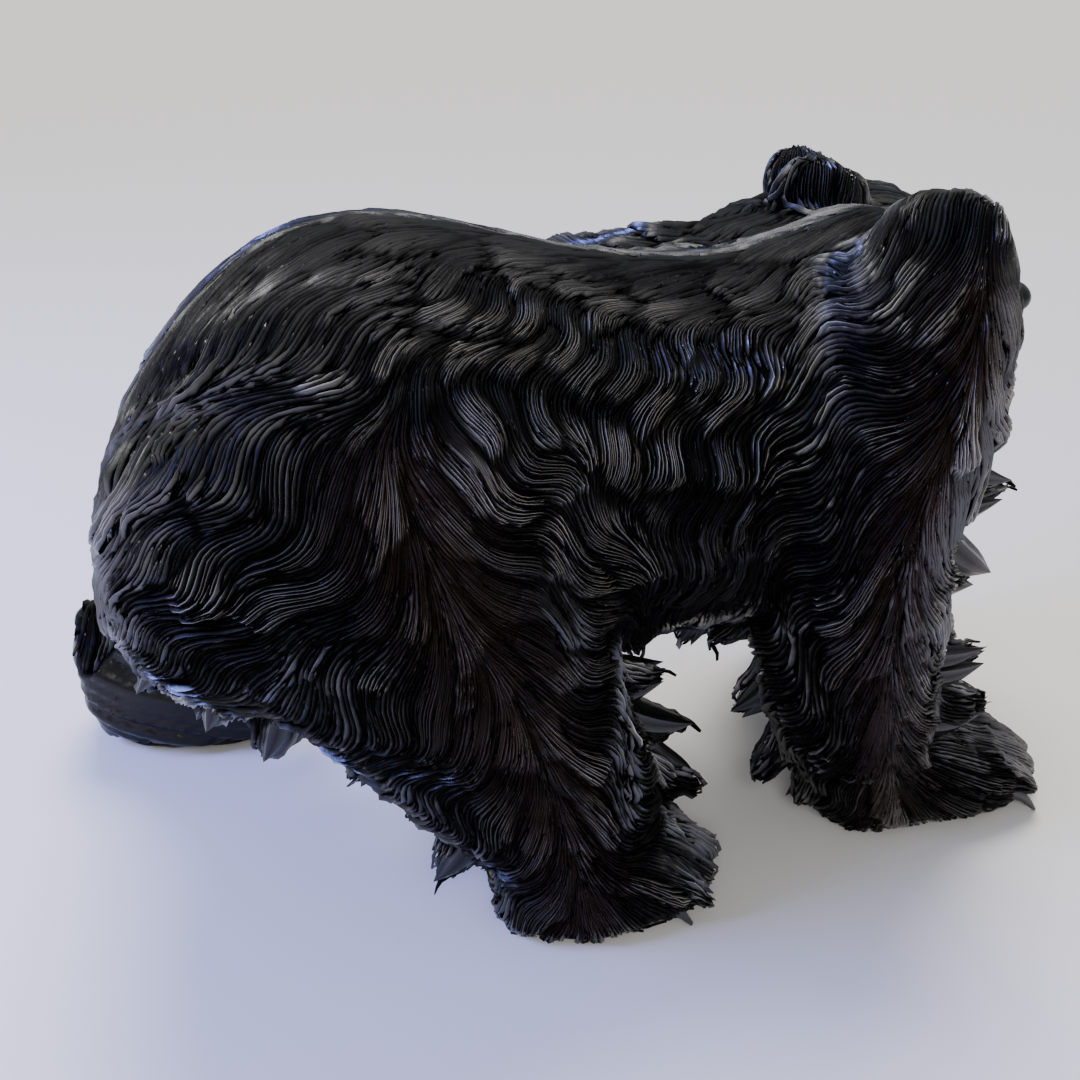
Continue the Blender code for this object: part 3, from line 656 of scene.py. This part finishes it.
# The stain and painted light
# The wood is stained almost black and rubbed with wax: a satin sheen, and red-brown wood that
# shows along the middle of each leg. Grooves are darkened by stain and painted shade, thin pale
# crest lines are worn wood and painted highlight, and dust with a painted sheen lies on slopes
# that face up.
DARKEST_STAIN = (0.005, 0.0048, 0.006)
STAIN = (0.009, 0.0086, 0.0095)
THIN_STAIN = (0.017, 0.0155, 0.0155)
RED_BROWN = (0.042, 0.02, 0.014, 1)
# Dust mixed with a painted sheen, and worn wood mixed with a painted highlight on the crests:
DUST_AND_SHEEN = (0.1, 0.098, 0.094, 1)
WORN_WOOD_AND_HIGHLIGHT = (0.42, 0.4, 0.35, 1)
FACE_DARK = (0.015, 0.014, 0.012)
FACE_PALE = (0.2, 0.19, 0.15)
GRAIN_DEPTH = 0.0006
wood = bpy.data.materials.new("stained_wood")
wood.use_nodes = True
tree = wood.node_tree
shader = tree.nodes["Principled BSDF"]
shader.inputs["Metallic"].default_value = 0.0
shader.inputs["Coat Roughness"].default_value = 0.35
own_place = tree.nodes.new("ShaderNodeTexCoord")


def speckle(scale, detail, roughness):
    """Noise on the wood's own coordinates."""
    node = tree.nodes.new("ShaderNodeTexNoise")
    node.inputs["Scale"].default_value = scale
    node.inputs["Detail"].default_value = detail
    node.inputs["Roughness"].default_value = roughness
    tree.links.new(own_place.outputs["Object"], node.inputs["Vector"])
    return node.outputs["Fac"]


def ramp(source, stops):
    """Colours read along a ramp; a stop with one value is a grey."""
    node = tree.nodes.new("ShaderNodeValToRGB")
    while len(node.color_ramp.elements) < len(stops):
        node.color_ramp.elements.new(0.5)
    for element, (at_value, colour) in zip(node.color_ramp.elements, stops):
        element.position = at_value
        element.color = (*(colour if isinstance(colour, tuple) else (colour,) * 3), 1)
    tree.links.new(source, node.inputs["Fac"])
    return node.outputs["Color"]


def feed(socket, value):
    """Sets a socket to a constant, or links another node's output to it."""
    if isinstance(value, (int, float, tuple)):
        socket.default_value = value
    else:
        tree.links.new(value, socket)


def blend(kind, amount, first, second):
    """One colour laid over another by an amount, mixed in the given way."""
    node = tree.nodes.new("ShaderNodeMix")
    node.data_type = "RGBA"
    node.blend_type = kind
    for name, value in (("Factor_Float", amount), ("A_Color", first), ("B_Color", second)):
        feed(next(s for s in node.inputs if s.identifier == name), value)
    return next(s for s in node.outputs if s.identifier == "Result_Color")


def attribute(name):
    """A value that each corner of the mesh holds under a name."""
    node = tree.nodes.new("ShaderNodeAttribute")
    node.attribute_name = name
    return node.outputs["Fac"]


def times(first, second):
    """Product of two values."""
    node = tree.nodes.new("ShaderNodeMath")
    node.operation = "MULTIPLY"
    for socket, value in zip(node.inputs, (first, second)):
        feed(socket, value)
    return node.outputs[0]


# The stain itself, the red-brown middle lines, dust with a painted sheen on slopes that face up
# and the paler face.
stain = ramp(speckle(38, 5, 0.6), [(0.3, DARKEST_STAIN), (0.55, STAIN), (0.8, THIN_STAIN)])
warm = times(attribute("warm"), ramp(speckle(60, 3, 0.6), [(0.3, 0.25), (0.7, 1.0)]))
stain = blend("MIX", times(warm, 0.6), stain, RED_BROWN)
dust_and_sheen_amount = times(attribute("dust_and_sheen"), ramp(speckle(14, 4, 0.6), [(0.35, 0.3), (0.65, 1.0)]))
stain = blend("MIX", times(dust_and_sheen_amount, 0.8), stain, DUST_AND_SHEEN)
dots = ramp(speckle(300, 2, 0.5), [(0.42, FACE_DARK), (0.6, FACE_PALE)])
stain = blend("MIX", times(attribute("pale"), 0.8), stain, dots)
# The bottoms of the grooves are darkened nearly black, by stain gathered there and by painted
# shade, and the crests carry thin pale lines of worn wood and painted highlight.
hollow = ramp(attribute("crest"), [(0.0, 0.05), (0.45, 1.0)])
stain = blend("MULTIPLY", 1.0, stain, hollow)
# Thin pale crest lines: partly worn wood, partly painted highlight.
edge = ramp(attribute("crest"), [(0.68, 0.0), (0.92, 1.0)])
crest_amount = times(edge, ramp(speckle(26, 6, 0.7), [(0.36, 0.25), (0.6, 1.0)]))
stain = blend("MIX", times(crest_amount, 0.85), stain, WORN_WOOD_AND_HIGHLIGHT)
tree.links.new(stain, shader.inputs["Base Color"])
# The wax shines on the crests and flanks, and the grooves stay dull.
sheen = ramp(speckle(90, 4, 0.6), [(0.3, 0.24), (0.75, 0.42)])
dull = ramp(attribute("crest"), [(0.0, 0.75), (0.2, 0.0)])
tree.links.new(blend("LIGHTEN", 1.0, sheen, dull), shader.inputs["Roughness"])
tree.links.new(times(hollow, 0.8), shader.inputs["Specular IOR Level"])
tree.links.new(times(hollow, 0.06), shader.inputs["Coat Weight"])
bump = tree.nodes.new("ShaderNodeBump")
bump.inputs["Strength"].default_value = 0.25
bump.inputs["Distance"].default_value = GRAIN_DEPTH
tree.links.new(speckle(420, 3, 0.6), bump.inputs["Height"])
tree.links.new(bump.outputs["Normal"], shader.inputs["Normal"])

def marked(mesh, name, values):
    """A value at each corner of a mesh, which the stain reads under its name."""
    values = np.asarray(values, np.float32).ravel()
    mesh.attributes.new(name, "FLOAT", "POINT").data.foreach_set("value", values)


def wooden(name, mesh):
    """A mesh as a piece of the bear, with smooth faces and the stain."""
    mesh.polygons.foreach_set("use_smooth", np.ones(len(mesh.polygons), bool))
    mesh.materials.append(wood)
    piece = in_scene(name, mesh)
    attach(piece, "root")
    return piece


# The carved skin is the block itself and stands for the solid. Its smooth wood shines a little.
# Elsewhere its crest value is 0, so the skin seen between the hairs is darkened nearly black:
# stain and painted shade at the bottoms of the grooves.
BARE_WORN = 0.13
marked(skin, "crest", BARE_WORN * smooth_wood * (1 - ear_hollow(ground)))
body = wooden("carved_block", skin)
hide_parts("carved_bear")


# The hairs
# Fine ridges are cut side by side with a small gouge. Each is a V with a sharp crest that
# leans to its upper side, narrows at both ends and lies evenly between its neighbours.
# The hairs are laid one after another, the longest first, where no other lies yet.
HAIR_CELL = 0.11
HAIR_STEPS = 28
SHORTEST_REACH = 14
FACE_REACH = 4
HAIR_LENGTHS = (34, 22, 12, 6, 4)
START_JITTER = 0.22
PITCH_SHARE = 0.66
LONGEST_GAP = 3.2
NARROWEST, WIDEST = 0.07, 0.4
ROOM = 0.8
FOOT_SUNK = 0.2
SOLE_INSET = 0.45
LOWEST = 0.02
cells_low = ground.min(axis=0) - 1.0
cells_size = (np.ceil((ground.max(axis=0) - cells_low) / HAIR_CELL) + 6).astype(int)
# Which cells a hair covers so far.
taken = np.zeros(cells_size.prod(), bool)


def hair_pitch(p):
    """Distance between neighbouring crests: fine on the spine, coarse on shoulder and rump."""
    arc = round_the_body(p)
    pitch = 0.21 + 0.04 * fade(-arc, -20, -6)
    pitch += 0.05 * fade(arc, 4, 9)
    pitch += 0.1 * fade(p[:, 0], -36, -24) * fade(-arc, -12, -4)
    pitch += 0.14 * fade(np.abs(p[:, 0] - 14), 7, 13) * fade(-arc, -12, -5) * fade(-p[:, 2], -26, -14)
    pitch += 0.12 * fade(p[:, 2], 24, 36)
    pitch -= 0.26 * middle_line_at(p)
    pitch = np.maximum(np.where(p[:, 0] > 36, 0.27, pitch), 0.18)
    pitch *= np.where(p[:, 1] > 10, 1.12, 1.0)
    hidden = fade(p[:, 2], 20, 26) * fade(np.abs(p[:, 1] - 3), 9, 13)
    return pitch * (1 + 0.5 * hidden) * (1 + 0.2 * noise(p, 5, 21))


def on_face(p):
    """1 on the face, which is cut in short strokes and coloured paler in fine dots."""
    edge = p[:, 0] + 1.6 * noise(p, 5, 51) - 0.35 * (p[:, 2] - 48)
    return fade(-edge, -40, -33) * fade(-p[:, 1], -9, -6) * fade(-p[:, 2], -40, -36)


def middle_line_at(p):
    """How near a leg's middle line each point is: the value at the nearest corner of the skin."""
    return middle_line[settle(p)[1]]


# Balls of cells by radius, each as steps of the cells' flat number.
balls = {}
for radius in np.arange(1.0, 6.0, 0.25):
    ball = cells_around(int(math.ceil(radius)))
    balls[float(radius)] = flat(ball[np.linalg.norm(ball, axis=1) <= radius], cells_size)

starts = rng.permutation(np.flatnonzero(smooth_wood < 0.5))
starts = np.concatenate([starts, rng.permutation(starts)])
jitter = rng.normal(size=(len(starts), 3)) * START_JITTER
lines = both_ways(ground[starts] + jitter, HAIR_STEPS)
count = lines.shape[1]
# A hair is shut off at smooth wood, at a sole, where it can't go on, and at the fifth
# point in a row that lies outside the feathered lock it started in.
at = settle(lines.reshape(-1, 3))[1].reshape(len(lines), count)
stuck = (smooth_wood[at] > 0.5) | (lines[:, :, 2] < 0.08)
pace = np.linalg.norm(np.diff(lines, axis=1), axis=2)
stuck[:, 1:-1] |= (pace[:, 1:] < 0.4 * STEP) | (pace[:, :-1] < 0.4 * STEP)
over = (lock_number[at] != lock_number[at][:, HAIR_STEPS : HAIR_STEPS + 1]) & feathered[starts][:, None]
stuck[:, 4:] |= over[:, 4:] & over[:, 3:-1] & over[:, 2:-2] & over[:, 1:-3] & over[:, :-4]
cells = cell_of(lines.reshape(-1, 3), cells_low, HAIR_CELL, cells_size).reshape(len(lines), count)
pitches = hair_pitch(ground[starts])
reach_back = rng.integers(SHORTEST_REACH, HAIR_STEPS + 1, len(starts))
reach_on = rng.integers(SHORTEST_REACH, HAIR_STEPS + 1, len(starts))
short = on_face(ground[starts]) > 0.5
reach_back[short] = reach_on[short] = FACE_REACH
# A kept hair is its start, its first point and its last one.
kept = []
for shortest in HAIR_LENGTHS:
    for k in range(len(starts)):
        row = cells[k]
        if taken[row[HAIR_STEPS]]:
            continue
        shut = np.flatnonzero(taken[row] | stuck[k])
        first = shut[shut < HAIR_STEPS].max(initial=HAIR_STEPS - reach_back[k] - 1) + 1
        last = shut[shut >= HAIR_STEPS].min(initial=HAIR_STEPS + reach_on[k] + 1) - 1
        if last - first < shortest:
            continue
        radius = float(np.clip(round(pitches[k] * PITCH_SHARE / HAIR_CELL * 4) / 4, 1, 5.75))
        taken[(row[first : last + 1, None] + balls[radius]).ravel() % len(taken)] = True
        kept.append((k, first, last))
kept = np.array(kept)
del taken

# Every second point of a hair carries a ring. Its frame is the skin's normal, the hair's
# own direction and the one square to both.
hairs = lines[kept[:, 0]]
for _ in range(2):
    hairs[:, 1:-1] = 0.25 * hairs[:, :-2] + 0.5 * hairs[:, 1:-1] + 0.25 * hairs[:, 2:]
span = kept[:, 2] - kept[:, 1]
number = (span + 1) // 2 + 1
j = np.arange(number.max())[None]
valid = j < number[:, None]
pick = np.minimum(kept[:, 1:2] + 2 * j, kept[:, 2:3])
spot = np.take_along_axis(hairs, pick[..., None], axis=1)
following = np.take_along_axis(spot, np.minimum(j + 1, number[:, None] - 1)[..., None], axis=1)
preceding = np.take_along_axis(spot, np.maximum(j - 1, 0)[..., None], axis=1)
spot, corner = settle(spot[valid])
normal = out[corner]
forward = following[valid] - preceding[valid]
forward = unit(forward - (forward * normal).sum(axis=1)[:, None] * normal)
beside = np.cross(normal, forward)
which = np.broadcast_to(np.arange(len(kept))[:, None], valid.shape)[valid]
t = (j / (number[:, None] - 1))[valid]
# A hair that jumps from one part of the bear to another is left out.
apart = np.linalg.norm(spot[1:] - spot[:-1], axis=1) * (which[1:] == which[:-1])
broken = np.zeros(len(kept), bool)
broken[which[1:][apart > LONGEST_GAP * STEP]] = True

# Half the way to the next hair on each side, found by walking sideways on a grid that
# holds the number of the hair in each cell.
owner = np.zeros(cells_size.prod(), np.uint16)
quarters = (0, 0.25, 0.5, 0.75)
fine = np.stack([hairs[:, :-1] + (hairs[:, 1:] - hairs[:, :-1]) * s for s in quarters], axis=2)
fine = fine.reshape(len(hairs), -1, 3)
k = np.arange(fine.shape[1])[None]
inside = (k >= 4 * kept[:, 1:2]) & (k <= 4 * kept[:, 2:3] - 1)
own = np.broadcast_to(np.arange(1, len(kept) + 1, dtype=np.uint16)[:, None], inside.shape)[inside]
home = cell_of(fine[inside], cells_low, HAIR_CELL, cells_size)
for shift in balls[1.0][np.argsort(balls[1.0] == 0, kind="stable")]:
    owner[(home + shift) % len(owner)] = own
halves = []
for sign in (-1, 1):
    room = np.full(len(spot), ROOM)
    for step in np.arange(ROOM, HAIR_CELL, -HAIR_CELL / 2):
        seen = owner[cell_of(spot + beside * sign * step, cells_low, HAIR_CELL, cells_size)]
        room = np.where((seen > 0) & (seen != which + 1), step + 0.08, room)
    halves.append(np.clip(room / 2, NARROWEST, WIDEST))
del owner

# The ridges' height, taper and place over the skin. They are lower on the face, near the
# ground and along a leg's middle line, and at a sole their ends keep their width.
strong = rng.uniform(0.55, 1.3, len(kept))[which]
lift = rng.uniform(-0.1, 0.1, len(kept))[which]
taper = np.minimum(1, 0.5 + 6 * t) * np.minimum(1, 0.12 + 5 * (1 - t))
swell, tone = lock_shape(spot)[:2]
bed = lock_bed(spot, swell)
coarse = np.clip(hair_pitch(spot) / 0.2 - 1.4, 0, 1)
steep = 0.4 + 0.32 * coarse + 0.15 * fade(-normal[:, 2], -0.96, -0.86)
from_root = np.minimum(1, 0.05 + 3.5 * t)
to_tip = np.minimum(1, 0.15 + 3 * (1 - t))
crest = steep * (halves[0] + halves[1]) * strong * from_root * to_tip
calm = np.maximum(np.maximum(on_face(spot), fade(spot[:, 2], 6, 9)), middle_line[corner])
crest *= 1 - 0.45 * calm
crest *= 1 - 0.5 * fade(spot[:, 2], 0.2, 1.4)
edge_on = fade(-np.abs(normal[:, 0]), -0.85, -0.5) * fade(spot[:, 2], 34, 40) * fade(-normal[:, 2], 0.1, 0.4)
curl = 0.4 * edge_on * fade(-spot[:, 2], -4, -2) * t**3
at_sole = fade(spot[:, 2], 0.3, 1.6)
taper = np.maximum(taper, at_sole)
spot -= normal * (1, 1, 0) * (SOLE_INSET * at_sole)[:, None]
spot[:, 2] -= at_sole * spot[:, 2]
centre = spot + normal * (bed + (lift + 0.06 * t) * taper + curl)[:, None]
left, right = halves[0] * taper, halves[1] * taper
aside = (0.6 - 0.3 * coarse) * np.clip(3 * beside[:, 2], -1, 1)
top_line = aside * np.where(aside > 0, right, left)
foot = np.full(len(t), -FOOT_SUNK)
profile = [(-left, foot), (top_line, crest), (right, foot)]
rings = np.stack([centre + beside * a[:, None] + normal * b[:, None] for a, b in profile], axis=1)
rings[:, :, 2] = np.maximum(rings[:, :, 2], LOWEST)
SECTION = len(profile)


def creased(mesh, chosen):
    """Keeps the chosen edges of a smooth mesh sharp."""
    mesh.attributes.new("sharp_edge", "BOOLEAN", "EDGE").data.foreach_set("value", chosen)


def hair_piece(name, chosen):
    """Lays the chosen hairs' rings end to end, joins each to the next and closes both ends.

    Crest lines, worn wood and painted highlight, are brightest on bright locks and on the upper
    flank. Hair beside the grooves between locks and hair that faces down is darkened as
    painted shade, and dust with a painted sheen lies on slopes that face up."""
    use = np.flatnonzero((chosen & ~broken)[which])
    first = np.concatenate(([True], which[use][1:] != which[use][:-1]))
    last = np.concatenate((first[1:], [True]))
    corners = rings[use].reshape(-1, 3)
    k = np.arange(SECTION)
    base = (np.flatnonzero(~last) * SECTION)[:, None]
    after = (k + 1) % SECTION
    quads = np.stack([base + k, base + after, base + SECTION + after, base + SECTION + k], -1)
    caps = np.vstack([
        (np.flatnonzero(first) * SECTION)[:, None] + k[::-1], (np.flatnonzero(last) * SECTION)[:, None] + k,
    ])
    mesh = mesh_of(name, corners * SHARE + PLACE, quads.reshape(-1, 4), caps)
    joined = read(mesh, mesh.edges, "vertices", 2, np.int32) % SECTION
    creased(mesh, joined[:, 0] == joined[:, 1])
    facing = normal[use, 2]
    trough = 0.12 * calm[use]
    # Hair that faces down is darker: painted shade underneath, and less wear on its crests.
    under = 1 - 0.5 * fade(facing, -0.5, -0.1)
    ends = np.minimum(1, 9 * t[use]) * np.minimum(1, 9 * (1 - t[use]))
    ends = ends * (1 - 0.2 * fade(-facing, -0.96, -0.86))
    around = round_the_body(spot[use])
    upper_flank = fade(np.abs(spot[use, 0] + 2), 16, 28) * fade(np.abs(around - 19), 7, 14)
    # Crest lines are brighter on bright locks and on the upper flank: wear and painted highlight.
    bright = np.minimum(1, 0.74 + 0.26 * tone[use] + 0.12 * upper_flank)
    top = trough + (1 - trough) * bright * ends
    # Hair beside the grooves between locks is darker: painted shade in the grooves.
    shaded = 0.4 + 0.6 * fade(-swell[use], -0.65, -0.1)
    marked(mesh, "crest", np.stack([trough, top, trough], axis=1) * (under * shaded)[:, None])
    # Dust and a painted sheen on slopes that face up, less on the flattest tops.
    sloping = fade(facing, 0.85, 0.3) * (1 - 0.7 * fade(facing, 1, 0.88))
    dust_and_sheen = sloping * (0.3 + 0.7 * tone[use]) * fade(-spot[use, 0], 24, 40)
    marked(mesh, "dust_and_sheen", np.repeat(dust_and_sheen, SECTION))
    marked(mesh, "pale", np.repeat(on_face(spot[use]), SECTION))
    marked(mesh, "warm", np.repeat(middle_line[corner[use]], SECTION))
    wooden(name, mesh)


middles = hairs[np.arange(len(hairs)), (kept[:, 1] + kept[:, 2]) // 2]
on_head = (middles[:, 0] > 24) & (middles[:, 1] > 4) & (middles[:, 2] > 36)
rump = (middles[:, 0] < -26) & ~on_head
front = (middles[:, 0] > 8) & ~on_head
flank = ~on_head & ~rump & ~front
hair_piece("hairs_of_the_head", on_head)
hair_piece("hairs_of_the_rump", rump)
hair_piece("hairs_of_the_flanks_right", flank & (middles[:, 1] < 3))
hair_piece("hairs_of_the_flanks_left", flank & (middles[:, 1] >= 3))
hair_piece("hairs_of_the_shoulder_right", front & (middles[:, 1] < 0))
hair_piece("hairs_of_the_shoulder_left", front & (middles[:, 1] >= 0))


# Flames of fur
# Pointed tongues of fur stand off the edges of the legs and the belly. Each is cut free at
# its tip and has grooves along it. A tuft is three of them, fanned out over each other.
FLAMES_PER_TUFT = 3
FLAME_RINGS = 9
FLAME_SIDES = 14
# Crest values of the flames: their grooves are darkened, as in the hair, by stain and painted shade.
RIB_CREST, GROOVE_CREST, TIP_CREST = 0.3, 0.12, 0.3


def outward(shape):
    """Turns a closed shape's faces round where its volume, a sum of pyramids, is negative."""
    corners, quads, ends = shape
    triangles = np.vstack([quads[:, :3], quads[:, [0, 2, 3]], ends])
    a, b, c = (corners[triangles[:, k]] - corners[0] for k in range(3))
    if (a * np.cross(b, c)).sum() < 0:
        return corners, quads[:, ::-1], ends[:, ::-1]
    return shape


def flame(tip, lean, length, half, thick, curl):
    """A grooved tongue of fur: its star-shaped rings shrink to a point that curls upwards."""
    t = np.linspace(-0.4, 1, FLAME_RINGS)[:, None]
    way, across = leaning(lean)
    centres = tip + way * length * (t - 1) - across * length * curl * (1 - t * t)
    full = np.maximum(1 - np.clip(t, 0, 1) ** 1.6, 0.03) * (1 - 0.12 * np.cos(4 * t))
    angle = np.arange(FLAME_SIDES) * 2 * math.pi / FLAME_SIDES
    star = np.where(np.arange(FLAME_SIDES) % 2, 0.86, 1.0)
    c, s = np.cos(angle) * star, np.sin(angle) * star
    rings = centres[:, None] + across * (half * full * c)[..., None]
    rings = rings + np.array((0, 1, 0)) * (thick * full * s)[..., None]
    return outward(closed_tube(rings, centres[0], centres[-1] + way * 0.15))


def solid_piece(name, shapes, crest_amount):
    """Closed shapes as one piece of the carving, with the crest value, which sets how dark and worn the
    stain is, at each corner.
    """
    corners, quads, ends = gather(shapes)
    corners[:, 2] = np.maximum(corners[:, 2], LOWEST)
    mesh = mesh_of(name, corners * SHARE + PLACE, quads, ends)
    marked(mesh, "crest", crest_amount)
    return wooden(name, mesh)


flame_shapes = []
for x, y, z, degrees, length, breadth in TUFTS:
    for k in range(FLAMES_PER_TUFT):
        place = (k - (FLAMES_PER_TUFT - 1) / 2) / 2
        lean = math.radians(degrees - 16 * place + rng.uniform(-6, 6))
        onward, above = leaning(lean)
        tip = np.array((x, y, z)) + above * breadth * 0.42 * place + (0, rng.uniform(-1.6, 1.6), 0)
        long = length * rng.uniform(0.9, 1.15) * (1 - 0.2 * abs(place))
        tip += onward * (rng.uniform(-0.6, 0.5) - 0.9 * abs(place))
        thick = rng.uniform(1.2, 1.7)
        flame_shapes.append(flame(tip, lean, long, 0.47 * breadth, thick, rng.uniform(0.14, 0.24)))
corners_each = len(flame_shapes[0][0])
flame_crest = np.tile((RIB_CREST, GROOVE_CREST), FLAME_SIDES // 2 * FLAME_RINGS)
flame_crest = np.append(flame_crest, (0, TIP_CREST))
flames_of_fur = solid_piece("flames_of_fur", flame_shapes, np.tile(flame_crest, len(flame_shapes)))
joined = read(flames_of_fur.data, flames_of_fur.data.edges, "vertices", 2, np.int32) % corners_each
creased(flames_of_fur.data, np.abs(joined[:, 0] - joined[:, 1]) == FLAME_SIDES)


# The claws
# Five short claws at the front of each paw, carved from the same wood, bent down and
# polished by handling.
CLAW_LENGTH = 3.6
CLAW_RADIUS = 0.85
CLAW_WORN = 0.5
claw_shapes = []
for paw in PAWS:
    toe_x, toe_y, span = paw[-3][0], paw[-3][1], paw[-1][0] - paw[-3][0]
    for k in range(-2, 3):
        root = np.array((toe_x + span * (0.62 - 0.09 * k * k), toe_y + 2.35 * k, 3.3 - 0.25 * k * k))
        forward_way = np.array((math.cos(0.2 * k), math.sin(0.2 * k), 0))
        t = np.linspace(-0.5, 1, 8)[:, None]
        bent = root + forward_way * CLAW_LENGTH * t - np.array((0, 0, 2.3)) * np.maximum(t, 0) ** 2
        radius = CLAW_RADIUS * (1 - 0.78 * np.maximum(t, 0) ** 1.3)
        stations = np.hstack([bent, radius, radius * 1.2, radius * 1.2])
        claw_shapes.append(outward(mass(stations, sides=12, per_span=2)))
solid_piece("claws", claw_shapes, np.full(sum(len(claw[0]) for claw in claw_shapes), CLAW_WORN))


# The eyes and the nose
# Rounded buttons left standing when the face was carved, smooth, dark and a little shiny.
EYE_RADIUS = 1.35
NOSE_RADII = (1.9, 2.8, 1.9)
BUTTON_WORN = 0.22


def egg(centre, radii):
    """A rounded button: rings along x whose radius follows a half circle."""
    t = np.sin(np.linspace(-1.5, 1.5, 13))
    r = np.sqrt(1 - t * t)
    along = np.stack([centre[0] + radii[0] * t, centre[1] + 0 * t, centre[2] + 0 * t], axis=1)
    across = np.stack([radii[1] * r, radii[2] * r, radii[2] * r], axis=1)
    return outward(mass(np.hstack([along, across]), upright=True, sides=20, per_span=1))


buttons = [egg(eye, (EYE_RADIUS,) * 3) for eye in EYES] + [egg(NOSE, NOSE_RADII)]
solid_piece("eyes_and_nose", buttons, np.full(sum(len(b[0]) for b in buttons), BUTTON_WORN))


# The floor, the light and the camera
# A plain pale floor, a large soft light above, a cool one from the left and the camera
# where the photograph was taken from.
FLOOR = [(-30, -30, -0.001), (30, -30, -0.001), (30, 60, -0.001), (-30, 60, -0.001)]
floor_mesh = mesh_of("floor", FLOOR, np.array([[0, 1, 2, 3]]))
floor = in_scene("floor", floor_mesh)
pale = bpy.data.materials.new("pale_floor")
pale.use_nodes = True
pale_shader = pale.node_tree.nodes["Principled BSDF"]
pale_shader.inputs["Base Color"].default_value = (0.8, 0.775, 0.755, 1)
pale_shader.inputs["Roughness"].default_value = 0.9
floor.data.materials.append(pale)
world = bpy.data.worlds.new("studio")
bpy.context.scene.world = world
world.use_nodes = True
background = world.node_tree.nodes["Background"]
background.inputs["Color"].default_value = (0.93, 0.95, 1.0, 1)
background.inputs["Strength"].default_value = 0.48


def soft_light(name, place, target, side, power, colour):
    """A square area light that faces its target."""
    data = bpy.data.lights.new(name, "AREA")
    data.size = side
    data.energy = power
    data.color = colour
    lamp = in_scene(name, data)
    lamp.location = place
    aim = np.array(target) - np.array(place)
    tilt = math.acos(-aim[2] / np.linalg.norm(aim))
    lamp.rotation_euler = (tilt, 0, math.atan2(aim[1], aim[0]) - math.pi / 2)


sky = in_scene("ceiling", bpy.data.lights.new("ceiling", "SUN"))
sky.data.energy = 3.4
sky.data.angle = 0.5
sky.data.color = (1, 0.975, 0.95)
sky.rotation_euler = (math.radians(-28), math.radians(8), 0)
soft_light("window", (-1.7, 0.0, 1.3), (0, 0, 0.25), 0.8, 68, (0.26, 0.33, 1.0))
soft_light("fill", (-0.5, -1.8, 1.5), (0, 0, 0.2), 0.8, 17, (1, 0.98, 0.95))

camera = in_scene("camera", bpy.data.cameras.new("camera"))
camera.data.lens = 36
camera.data.sensor_width = 36
camera.location = np.array((-33.5, -94.2, 84.0)) * SHARE + PLACE
camera.rotation_euler = (math.radians(90 - 28), 0, math.radians(-14))
bpy.context.scene.camera = camera
